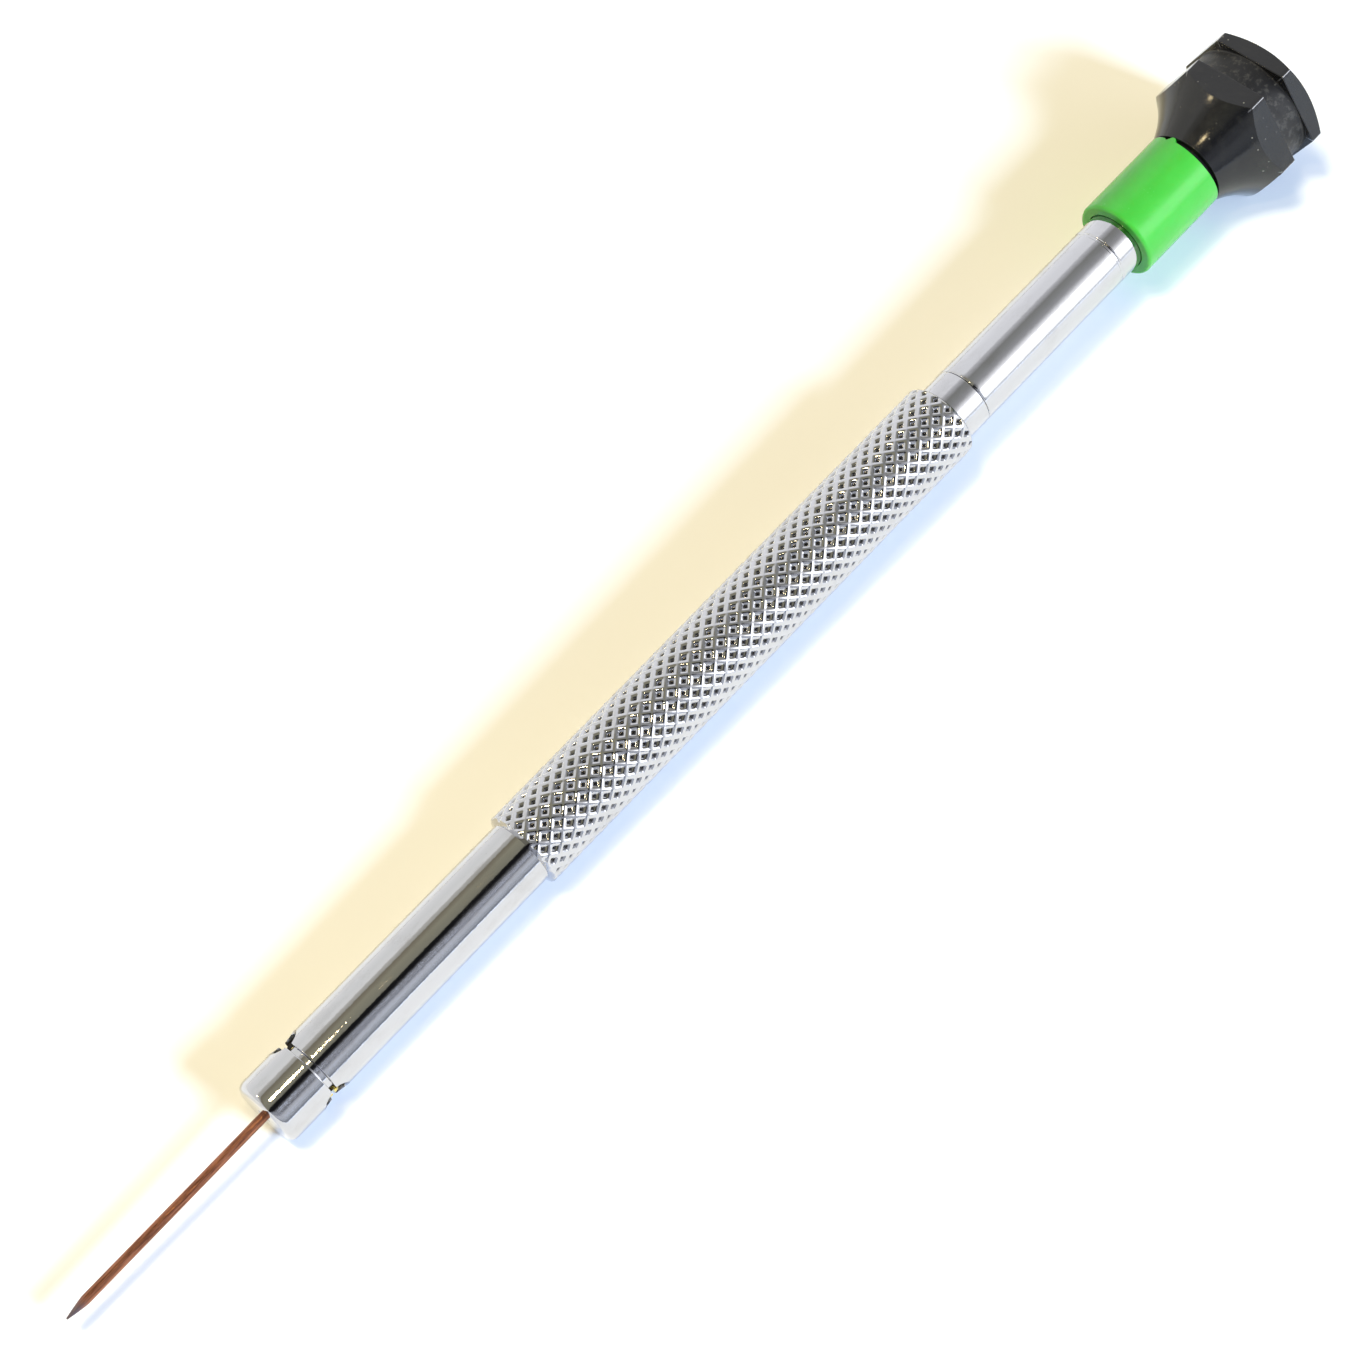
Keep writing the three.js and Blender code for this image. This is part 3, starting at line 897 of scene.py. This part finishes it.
def clamp_screw(letter, side, outer, dome):
    """A turned grub screw with a rounded end, cut across by its slot."""
    place = across_tool(side)
    points = [
        (SCREW_INNER, 0),
        (SCREW_INNER, SCREW_R - 0.25, 0.03),
        (SCREW_INNER + 0.2, SCREW_R, 0.03),
        (outer - dome, SCREW_R, 0.05),
        (outer - dome * 0.35, SCREW_R * 0.72, 0.1),
        (outer, 0),
    ]
    screw = turned_piece(f"clamp_screw_{letter}", points, place, count=48)
    cut(screw, slot_cutter(place, outer))
    fit(screw, f"clamp_screw_{letter}", "brass", brass, f"blade_screw_{letter}")


def reach_of(node):
    """How far a screw's outer end is from the tool's axis: its box seen along its direction."""
    low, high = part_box(node)
    half_wide = SCREW_R * MM * math.sin(ROLL)
    furthest = max(abs(low.y), abs(high.y))
    return (furthest - half_wide) / math.cos(ROLL) / MM


clamp_screw("a", 1, reach_of("blade_screw_a"), 0.1)
clamp_screw("b", -1, reach_of("blade_screw_b"), 0.16)

# %% [markdown]
# ## The rear shaft, its pin and the bearing
#
# The rear shaft screws into the handle and ends in a hardened pin. On the pin the head's bronze
# bush turns, a split ring holds it on, and between head and shaft eight balls in a brass cage
# take the push of the finger. All but the shaft is hidden when the tool is whole, but it is
# there, and it shows when the rear shaft is screwed out or the model is taken apart.

# %% The rear shaft
SPIGOT_R = 1.5
PIN_BORE_R = 0.84
PIN_BORE_END = 88.0
SHAFT_START = HANDLE_END + 0.02
FINE_GROOVE = 90.1
FINE_HALF = 0.15
FINE_DEPTH = 0.1

shaft_points = [
    (SPIGOT_START, 0),
    (SPIGOT_START, SPIGOT_R - 0.2, 0.04),
    (SPIGOT_START + 0.2, SPIGOT_R, 0.04),
    (SHAFT_START, SPIGOT_R, 0.03),
    (SHAFT_START, NECK_R, 0.09),
    (FINE_GROOVE - FINE_HALF, NECK_R, 0.03),
    (FINE_GROOVE - FINE_HALF / 2, NECK_R - FINE_DEPTH, 0.02),
    (FINE_GROOVE + FINE_HALF / 2, NECK_R - FINE_DEPTH, 0.02),
    (FINE_GROOVE + FINE_HALF, NECK_R, 0.03),
    (SPINDLE_END, NECK_R, 0.1),
    (SPINDLE_END, PIN_BORE_R, 0.04),
    (PIN_BORE_END, PIN_BORE_R),
    (PIN_BORE_END, 0),
]
shaft = turned_piece("rear_shaft", shaft_points, count=128)
fit(shaft, "rear_section", "chrome", chrome, "rear_spindle")

# %% The pin, the washers, the bush and the balls
PIN_R = radius_of("bearing_pin")
PIN_START, PIN_END = span("bearing_pin")
CLIP_START, CLIP_END = span("snap_ring")
PIN_NECK_R = 0.55
WASHER_BORE = 0.88
CAGE_BORE = 0.9
BALLS = range(1, 9)

pin_points = [
    (PIN_START, 0),
    (PIN_START, PIN_R, 0.06),
    (CLIP_START - 0.05, PIN_R, 0.03),
    (CLIP_START - 0.05, PIN_NECK_R, 0.04),
    (CLIP_END + 0.05, PIN_NECK_R, 0.04),
    (CLIP_END + 0.05, PIN_R - 0.05, 0.03),
    (PIN_END - 0.25, PIN_R - 0.05, 0.06),
    (PIN_END, PIN_R - 0.3, 0.06),
    (PIN_END, 0),
]
fit(turned_piece("turning_pin", pin_points), "rear_section", "bearing_steel", steel, "bearing_pin")


def hollow_piece(name, node, bore, edge, body, slot, material):
    """A bored disc or sleeve with rounded edges, as long and as wide as its node."""
    rows = band_section(*span(node), bore, radius_of(node), edge)
    piece = skin(name, turned(rows, around(ROUND)), ring=True)
    fit(piece, body, slot, material, node)


for place, body in (("front", "rear_section"), ("rear", "head")):
    node = f"race_washer_{place}"
    hollow_piece(f"{place}_race", node, WASHER_BORE, 0.05, body, "bearing_steel", steel)
hollow_piece("head_bush", "bearing_bush", PIN_R + 0.06, 0.08, "head", "bronze", bronze)


def ball(name, node):
    """A sphere as a turned half circle: along = -r cos(t), out = r sin(t)."""
    low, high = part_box(node)
    radius = (high.x - low.x) / 2 / MM
    t = np.linspace(0, math.pi, 17)
    rows = np.stack([-radius * np.cos(t), radius * np.sin(t)], -1)[:, None, :]
    place = (tuple((low + high) / 2), *ALONG_TOOL[1:])
    piece = skin(name, turned(rows, around(32), place))
    fit(piece, "ball_race", "bearing_steel", steel, node)


for number in BALLS:
    ball(f"race_ball_{number}", f"bearing_ball_{number}")

# %% [markdown]
# The cage is a plate with eight round windows, and the split ring is a flat wire bent round
# with a gap. The cage is a turned disc with its windows cut through. The ring is a rounded
# rectangle carried along most of a circle and closed at its two ends.

# %% The cage and the split ring


def ball_cage():
    """A turned disc with a round window for each ball."""
    rows = band_section(*span("ball_cage"), CAGE_BORE, radius_of("ball_cage"), 0.03)
    cage = skin("brass_cage", turned(rows, around(ROUND)), ring=True)
    for number in BALLS:
        low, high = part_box(f"bearing_ball_{number}")
        window_r = (high.x - low.x) / 2 / MM + 0.05
        window = [(-1, 0), (-1, window_r), (1, window_r), (1, 0)]
        place = (tuple((low + high) / 2), *ALONG_TOOL[1:])
        cut(cage, turned_piece("window", window, place, count=32))
    fit(cage, "ball_race", "brass", brass, "ball_cage")


def split_ring(bore, gap):
    """A flat wire round the axis: an outline of the wire, at angles from one end to the other."""
    radius = radius_of("snap_ring")
    section = band_section(CLIP_START, CLIP_END, bore, radius, 0.04)
    half_gap = math.asin(gap / 2 / radius)
    angles = np.linspace(math.pi / 2 + half_gap, math.pi * 5 / 2 - half_gap, 72)
    wire = turned(section, angles).transpose(1, 0, 2)
    middle_line = wire.mean(axis=1, keepdims=True)
    first = np.repeat(middle_line[:1], wire.shape[1], 1)
    last = np.repeat(middle_line[-1:], wire.shape[1], 1)
    points = np.concatenate([first, wire, last])[:, ::-1]
    fit(skin("split_ring", points), "head", "spring_steel", spring, "snap_ring")


ball_cage()
split_ring(PIN_NECK_R + 0.07, 1.0)

# %% [markdown]
# ## The head
#
# The head is turned from hexagonal bar. The lathe's cut meets the six flats in curves, because
# a corner of the bar reaches further out than the middle of a flat. So in each direction round
# the axis the head's outline is the lathe's outline or the bar, whichever is nearer to the axis.
# One outline per direction, with its corners placed where the two meet, keeps every edge crisp,
# where a mesh boolean would leave long thin faces that shade badly.

# %% The hexagonal bar
CORNER_ROUND = 0.13
SECTOR = math.pi / 3


def bar_angles():
    """Directions round the bar, close together where its six corners are rounded."""
    centre_r = (FLAT_R - CORNER_ROUND) / math.cos(SECTOR / 2)
    touch = math.atan2(
        CORNER_ROUND * math.sin(SECTOR / 2), centre_r + CORNER_ROUND * math.cos(SECTOR / 2)
    )
    flat = np.linspace(touch, SECTOR - touch, 21)
    corner = np.linspace(-touch, touch, 8)[1:-1]
    one = np.concatenate([corner, flat])
    return np.concatenate([one + i * SECTOR for i in range(6)])


def bar_radius(angles):
    """How far out the bar reaches.

    At u from the nearest corner, a flat lies at FLAT_R / cos(30 degrees - u), and the rounded
    corner, a circle of radius p centred c out, at c cos(u) + sqrt(p p - c c sin(u) sin(u)).
    """
    u = np.abs((angles + SECTOR / 2) % SECTOR - SECTOR / 2)
    flat = FLAT_R / np.cos(SECTOR / 2 - u)
    c = (FLAT_R - CORNER_ROUND) / math.cos(SECTOR / 2)
    inside = CORNER_ROUND**2 - (c * np.sin(u)) ** 2
    rounded = c * np.cos(u) + np.sqrt(np.maximum(inside, 0))
    return np.where(inside > 0, np.minimum(flat, rounded), flat)


# %% The lathe's cuts
SPIGOT_OUT_R = 2.38
NECK_START = 98.9
HEAD_NECK_R = 2.72
FLARE_END = 102.42
FLARE_ANGLE = math.radians(20)
WAIST_R = 4.3
WAIST_HOLLOW = 0.07
CROWN_START = 106.25
CROWN_SLOPE = math.tan(math.radians(30))
CROWN_SWELL = 0.12
RIM_OUTER_R, RIM_INNER_R = 3.8, 3.45
DISH_DEPTH = 0.5

chord = math.hypot(FLARE_END - NECK_START, HEX_R - HEAD_NECK_R)
half_turn = math.atan2(HEX_R - HEAD_NECK_R, FLARE_END - NECK_START) - FLARE_ANGLE
FLARE_ROUND = chord / 2 / math.sin(half_turn)
FLARE_X = NECK_START - FLARE_ROUND * math.sin(FLARE_ANGLE)
FLARE_OUT = HEAD_NECK_R + FLARE_ROUND * math.cos(FLARE_ANGLE)
print(f"flare: an arc of radius {FLARE_ROUND:.2f} mm")


def flare_meets(radius):
    """Where the flare's hollow arc reaches a radius, along the tool."""
    return FLARE_X + np.sqrt(FLARE_ROUND**2 - (FLARE_OUT - radius) ** 2)


def crown_x(radius):
    """The crown's cone, a little swollen midway between the bar's corner and the rim."""
    t = (HEX_R - radius) / (HEX_R - RIM_OUTER_R)
    cone = CROWN_START + (HEX_R - radius) * CROWN_SLOPE
    return cone + CROWN_SWELL * t * (1 - t)


# %% The head as one outline in every direction
head_angles = bar_angles()
bar_r = bar_radius(head_angles)
columns = len(head_angles)
SOFT = 0.06

bush_seat = span("bearing_bush")[1] + 0.1
clip_seat = CLIP_START - 0.05
clip_back = CLIP_END + 0.05
head_points = [
    (PIN_END + 0.7, 0),
    (PIN_END + 0.3, 1.05),
    (clip_back, 1.05),
    (clip_back, 1.27),
    (clip_seat, 1.27),
    (clip_seat, 1.05),
    (bush_seat, 1.05),
    (bush_seat, 1.54),
    (HEAD_START, 1.54, SOFT),
    (HEAD_START, SPIGOT_OUT_R, SOFT),
    (NECK_START, SPIGOT_OUT_R),
    (NECK_START, HEAD_NECK_R, SOFT),
]
flare_end = flare_meets(bar_r)
for t in np.linspace(0, 1, 15)[1:-1]:
    x = NECK_START + t * (flare_end - NECK_START)
    r = FLARE_OUT - np.sqrt(FLARE_ROUND**2 - (x - FLARE_X) ** 2)
    head_points.append((x, r))
head_points += [
    (flare_end, bar_r, 0.05),
    (flare_end * 0.6 + WAIST_START * 0.4, bar_r),
    (WAIST_START, bar_r, SOFT),
    (WAIST_START + 0.04, WAIST_R, 0.12),
]
for t in np.linspace(0, 1, 7)[1:-1]:
    hollow = WAIST_HOLLOW * 4 * t * (1 - t)
    head_points.append((WAIST_START + t * (WAIST_END - WAIST_START), WAIST_R - hollow))
crown_start = crown_x(bar_r)
head_points += [
    (WAIST_END - 0.04, WAIST_R, 0.12),
    (WAIST_END, bar_r, SOFT),
    (WAIST_END * 0.5 + crown_start * 0.5, bar_r),
    (crown_start, bar_r, SOFT),
]
for t in np.linspace(0, 1, 7)[1:-1]:
    r = bar_r + t * (RIM_OUTER_R - bar_r)
    head_points.append((crown_x(r), r))
dish_r = (RIM_INNER_R**2 + DISH_DEPTH**2) / (2 * DISH_DEPTH)
dish_half = math.asin(RIM_INNER_R / dish_r)
head_points += [(HEAD_END, RIM_OUTER_R, SOFT), (HEAD_END, RIM_INNER_R, SOFT)]
dish_centre = (HEAD_END + dish_r - DISH_DEPTH, 0)
head_points += arc_points(dish_centre, dish_r, math.pi - dish_half, math.pi, 12)[1:]
head_rows = outline(head_points, columns)
head = skin("hex_head", turned(head_rows, head_angles), sharp=math.radians(32))

# %% [markdown]
# Wear shows on edges that hands and benches touch. The mesh knows where its edges are, so each
# vertex can carry whether it is on one, as an attribute that the material reads. Here the bar's
# six corners are the edges that wear.

# %% An edge attribute on the head
along, out, angle = vertex_places(head.data)
from_corner = np.abs((angle + SECTOR / 2) % SECTOR - SECTOR / 2)
on_bar = (along > FLARE_END - 0.9) & (along < crown_x(FLAT_R) + 0.1)
corner_edge = on_bar & (out > HEX_R - 0.12) & (from_corner < 0.009)
store_attribute(head.data, "edge", corner_edge.astype(float))
fit(head, "head", "black_head", black_head, "head_cap")

# %% [markdown]
# ## The colour ring
#
# The ring is a moulded sleeve pushed onto the head's spigot. Its front lip runs over the rear
# shaft. Its back edge isn't quite straight: it was trimmed by hand, and where it was broken
# from its runner it keeps a small nub, with a nick beside it. An edge that is off by a
# different amount in each direction is one more function of the angle round the axis.

# %% The ring
LIP_R, LIP_END = 2.1, 93.0
RING_BORE = 2.43
NEAR_SIDE = math.radians(90 + 26)
TRIM = 0.34
NUB_TURN = math.radians(-43)
NUB_WIDE, NUB_LONG, NICK_LONG = 0.24, 0.26, 0.14

ring_points = [
    ((RING_START + RING_END) / 2, RING_R),
    (RING_END - 1.2, RING_R),
]
ring_points += [(x, RING_R) for x in np.linspace(RING_END - 1.0, RING_END - 0.2, 9)]
ring_points += [
    (RING_END, RING_R, 0.1),
    (RING_END, RING_BORE, 0.05),
    (LIP_END, RING_BORE, 0.05),
    (LIP_END, LIP_R, 0.05),
    (RING_START, LIP_R, 0.05),
    (RING_START, RING_R, 0.22),
]
ring_points.append(ring_points[0])
ring_angles = around(240)
ring_rows = outline(ring_points, len(ring_angles))[:-1][::-1]


def ring_edge(angles):
    """How far the back edge stands back or forward: trimmed on one side, a nub and a nick."""
    turn = (angles - NEAR_SIDE + math.pi) % (2 * math.pi) - math.pi
    trim = -TRIM * np.clip(np.cos(turn), 0, 1) ** 1.5
    arc_from_nub = (turn - NUB_TURN) * RING_R
    nub = NUB_LONG * np.exp(-((arc_from_nub / NUB_WIDE) ** 4))
    nick = NICK_LONG * np.exp(-(((arc_from_nub + 0.45) / 0.13) ** 2))
    return trim + nub - nick


near_back = np.clip((ring_rows[..., 0] - (RING_END - 1.0)) / 1.0, 0, 1)
ring_rows[..., 0] += near_back**2 * ring_edge(ring_angles)[None, :]
ring = skin("size_ring", turned(ring_rows[::-1], ring_angles), ring=True)
fit(ring, "head", "green_plastic", green_plastic, "colour_ring")

# %% [markdown]
# ## Camera
#
# The tool is looked at from close by, a little from its blade's end and from its near side, and
# the camera is rolled so that the tool runs from the lower left to the upper right.

# %% Camera
AIM_ALONG = 51.1
AIM_SIDE = 0.27
DISTANCE = 197.0
TOWARDS_TIP = math.radians(16.5)
TOWARDS_NEAR_SIDE = math.radians(26)
ROLL_IN_FRAME = math.radians(45.77)
LENS = 87.2

side_way = Vector((0, math.cos(TOWARDS_NEAR_SIDE), math.sin(TOWARDS_NEAR_SIDE)))
up_way = Vector((0, -math.sin(TOWARDS_NEAR_SIDE), math.cos(TOWARDS_NEAR_SIDE)))
ahead = Vector((1, 0, 0))
aim = Vector((TIP + AIM_ALONG * MM, 0, AXIS_Z)) + side_way * AIM_SIDE * MM
to_camera = -math.sin(TOWARDS_TIP) * ahead + math.cos(TOWARDS_TIP) * up_way
in_frame = (ahead - ahead.dot(to_camera) * to_camera).normalized()
across_frame = to_camera.cross(in_frame)
right = math.cos(ROLL_IN_FRAME) * in_frame - math.sin(ROLL_IN_FRAME) * across_frame
upward = math.sin(ROLL_IN_FRAME) * in_frame + math.cos(ROLL_IN_FRAME) * across_frame

camera_data = bpy.data.cameras.new("camera")
camera_data.lens = LENS
camera_data.sensor_width = 36
camera_data.clip_start = 0.01
camera = bpy.data.objects.new("camera", camera_data)
camera.matrix_world = Matrix(
    (
        (right.x, upward.x, to_camera.x, 0),
        (right.y, upward.y, to_camera.y, 0),
        (right.z, upward.z, to_camera.z, 0),
        (0, 0, 0, 1),
    )
)
camera.location = aim + to_camera * DISTANCE * MM
scene.collection.objects.link(camera)
scene.camera = camera
print("camera is", round((camera.location - aim).length, 3), "m from the tool")

# %% [markdown]
# ## The floor
#
# The tool lies with one flat of its head down. Its nose is thinner than its head, so it leans a
# little, and a true floor touches it at two places: the head's flat edge and the collar. The
# floor is tipped to meet both, and the tool keeps its frame.

# %% A pale floor
nose_gap = AXIS_Z - COLLAR_R * MM
tilt_run = (WAIST_START - NOSE) * MM
floor_slope = nose_gap / tilt_run
FLOOR_HALF = 3.0
FLOOR_GAP = 0.00002


def floor_height(x):
    """The floor's height under a place along the tool, on a line through the two contacts."""
    head_contact = TIP + WAIST_START * MM
    return (head_contact - x) * floor_slope


def make_floor():
    """A flat sheet, large enough to fill every view."""
    signs = ((-1, -1), (1, -1), (1, 1), (-1, 1))
    corners = [(u * FLOOR_HALF, v * FLOOR_HALF) for u, v in signs]
    mesh = bpy.data.meshes.new("floor")
    mesh.from_pydata([(x, y, floor_height(x) - FLOOR_GAP) for x, y in corners], [], [(0, 1, 2, 3)])
    material, tree, shader = new_material("Paper white", Roughness=0.75)
    cloud = stretched_noise(tree, EVENLY, 30.0)
    mask = ramp(tree, cloud.outputs["Fac"], 0.3, 0.7)
    paper = blend_colours(tree, mask, (0.87, 0.87, 0.88), (0.9, 0.9, 0.9))
    tree.links.new(paper, shader.inputs["Base Color"])
    mesh.materials.append(material)
    floor = bpy.data.objects.new("floor", mesh)
    scene.collection.objects.link(floor)


make_floor()
print(f"floor tipped by {math.degrees(math.atan(floor_slope)):.2f} degrees")

# %% [markdown]
# ## Light
#
# Polished metal shows the room and not itself, so the room matters more than the lamps. The
# world is given as broad bands, by the angle round the tool. From the near side over the top to
# the far side the front bands are a grey wall with some clutter before it, the dark gap where
# someone stands, a dim warm ceiling, and a pale wall. In directions that lean towards the head
# the rear bands take over, with a bright window in the near wall and no dark gap.
#
# Two soft lamps that don't show in the metal light the floor: a warm one high on the far side
# and a cool one low on the near side. Two tiny warm lamps do show, as points of light.

# %% The room as bands of light
BRIGHTEST = 4.0
FILL = 0.42
CLUTTER_TOP = (0.398, 0.383)
CLUTTER_FOOT = (0.26, 0.275)
CLUTTER_COLOUR = (0.20, 0.215, 0.25)
REAR_STARTS = (0.24, 0.34)
REAR_STOPS = (0.85, 0.7)
FRONT_BANDS = (
    (-180, (1.10, 1.17, 1.30)),
    (-92, (1.10, 1.15, 1.25)),
    (-88, (0.30, 0.32, 0.36)),
    (-81, (0.44, 0.47, 0.50)),
    (-70, (0.68, 0.70, 0.73)),
    (-62, (0.62, 0.64, 0.66)),
    (-55, (0.20, 0.20, 0.215)),
    (-50, (0.31, 0.31, 0.32)),
    (-43, (0.23, 0.23, 0.235)),
    (-37, (0.08, 0.08, 0.08)),
    (-33, (0.012, 0.012, 0.014)),
    (-23, (0.012, 0.012, 0.012)),
    (-20, (0.30, 0.29, 0.22)),
    (5, (0.37, 0.35, 0.25)),
    (13, (0.31, 0.28, 0.20)),
    (20, (0.27, 0.24, 0.17)),
    (24, (0.55, 0.54, 0.48)),
    (32, (0.65, 0.63, 0.56)),
    (37, (1.05, 1.04, 0.99)),
    (56, (1.00, 1.00, 0.95)),
    (75, (1.08, 1.07, 1.03)),
    (95, (1.20, 1.18, 1.12)),
    (180, (1.10, 1.17, 1.30)),
)
REAR_BANDS = (
    (-180, (1.10, 1.17, 1.30)),
    (-95, (1.50, 1.52, 1.55)),
    (-87, (0.92, 0.95, 0.97)),
    (-80, (2.20, 2.25, 2.30)),
    (-74, (3.6, 3.7, 3.9)),
    (-52, (3.6, 3.7, 3.9)),
    (-47, (1.60, 1.60, 1.60)),
    (-42, (1.20, 1.20, 1.20)),
    (-33, (0.68, 0.68, 0.68)),
    (-27, (0.47, 0.47, 0.47)),
    (-22, (0.42, 0.42, 0.42)),
    (-10, (0.35, 0.355, 0.34)),
    (6, (0.31, 0.31, 0.29)),
    (15, (0.53, 0.53, 0.53)),
    (23, (0.69, 0.69, 0.69)),
    (29, (1.06, 1.06, 1.06)),
    (52, (1.08, 1.08, 1.08)),
    (97, (1.25, 1.25, 1.25)),
    (180, (1.10, 1.17, 1.30)),
)


def band_ramp(tree, source, bands):
    """A colour ramp with stops at angles in degrees; its colours are divided by BRIGHTEST."""
    node = add(tree, "ShaderNodeValToRGB")
    elements = node.color_ramp.elements
    elements.remove(elements[0])
    for i, (degrees, colour) in enumerate(bands):
        spot = (degrees + 180) / 360
        element = elements[0] if i == 0 else elements.new(spot)
        element.position = spot
        element.color = (*(channel / BRIGHTEST for channel in colour), 1)
    tree.links.new(source, node.inputs["Fac"])
    return node.outputs["Color"]


def make_room():
    """A world whose colour depends on the angle round the tool, atan2(sideways, up).

    It blends from the front bands to the rear bands with the direction's part along the tool.
    Rays that don't come from a polished surface see it at FILL of its strength.
    """
    world = bpy.data.worlds.new("room")
    world.use_nodes = True
    tree = world.node_tree
    background = next(n for n in tree.nodes if n.type == "BACKGROUND")
    direction = coordinate(tree, "Generated")
    angle = combine(tree, "ARCTAN2", direction["Y"], direction["Z"])
    place = add(tree, "ShaderNodeMapRange")
    place.inputs["From Min"].default_value = -math.pi
    place.inputs["From Max"].default_value = math.pi
    tree.links.new(angle, place.inputs["Value"])
    turn = place.outputs["Result"]
    clutter = stretched_noise(tree, (160.0, 9.0, 9.0), 1.0, detail=5.0, rough=0.7)
    clutter_mask = ramp(tree, clutter.outputs["Fac"], 0.5, 0.6)
    below_top = ramp(tree, turn, *CLUTTER_TOP)
    above_foot = ramp(tree, turn, *CLUTTER_FOOT)
    in_band = combine(tree, "MULTIPLY", below_top, above_foot)
    cluttered = combine(tree, "MULTIPLY", in_band, clutter_mask)
    plain_front = band_ramp(tree, turn, FRONT_BANDS)
    front = blend_colours(tree, cluttered, plain_front, CLUTTER_COLOUR)
    rear = band_ramp(tree, turn, REAR_BANDS)
    past_front = ramp(tree, direction["X"], *REAR_STARTS)
    before_end = ramp(tree, direction["X"], *REAR_STOPS)
    rearward = combine(tree, "MULTIPLY", past_front, before_end)
    colour = blend_colours(tree, rearward, front, rear)
    tree.links.new(colour, background.inputs["Color"])
    path = add(tree, "ShaderNodeLightPath")
    strength = blend_values(tree, path.outputs["Is Glossy Ray"], BRIGHTEST * FILL, BRIGHTEST)
    tree.links.new(strength, background.inputs["Strength"])
    scene.world = world


make_room()

# %% Soft lamps and glints


def soft_lamp(name, place, size, power, colour, shows=False):
    """A flat lamp turned to face the frame's origin, which only shows in metal if shows is set."""
    data = bpy.data.lights.new(name, "AREA")
    data.shape = "RECTANGLE"
    data.size, data.size_y = size
    data.energy = power
    data.color = colour
    lamp = bpy.data.objects.new(name, data)
    lamp.location = place
    lamp.rotation_euler = (-Vector(place)).to_track_quat("-Z", "Y").to_euler()
    lamp.visible_glossy = shows
    scene.collection.objects.link(lamp)


soft_lamp("cool_lamp", (0.1, -0.69, 0.4), (0.2, 0.17), 10.4, (0.57, 0.73, 1.0))
soft_lamp("warm_lamp", (-0.1, 0.1, 0.83), (0.22, 0.22), 5.2, (1.0, 0.87, 0.54))
for name, place in (("glint", (-0.02, -0.02, 0.175)), ("far_glint", (-0.161, 0.126, 0.18))):
    soft_lamp(name, place, (0.014, 0.014), 0.03, (1.0, 0.8, 0.45), shows=True)

# %% [markdown]
# ## Colour
#
# The plain sRGB transform keeps the floor white and the green ring as bright as it is.

# %% View transform
scene.view_settings.view_transform = "Standard"
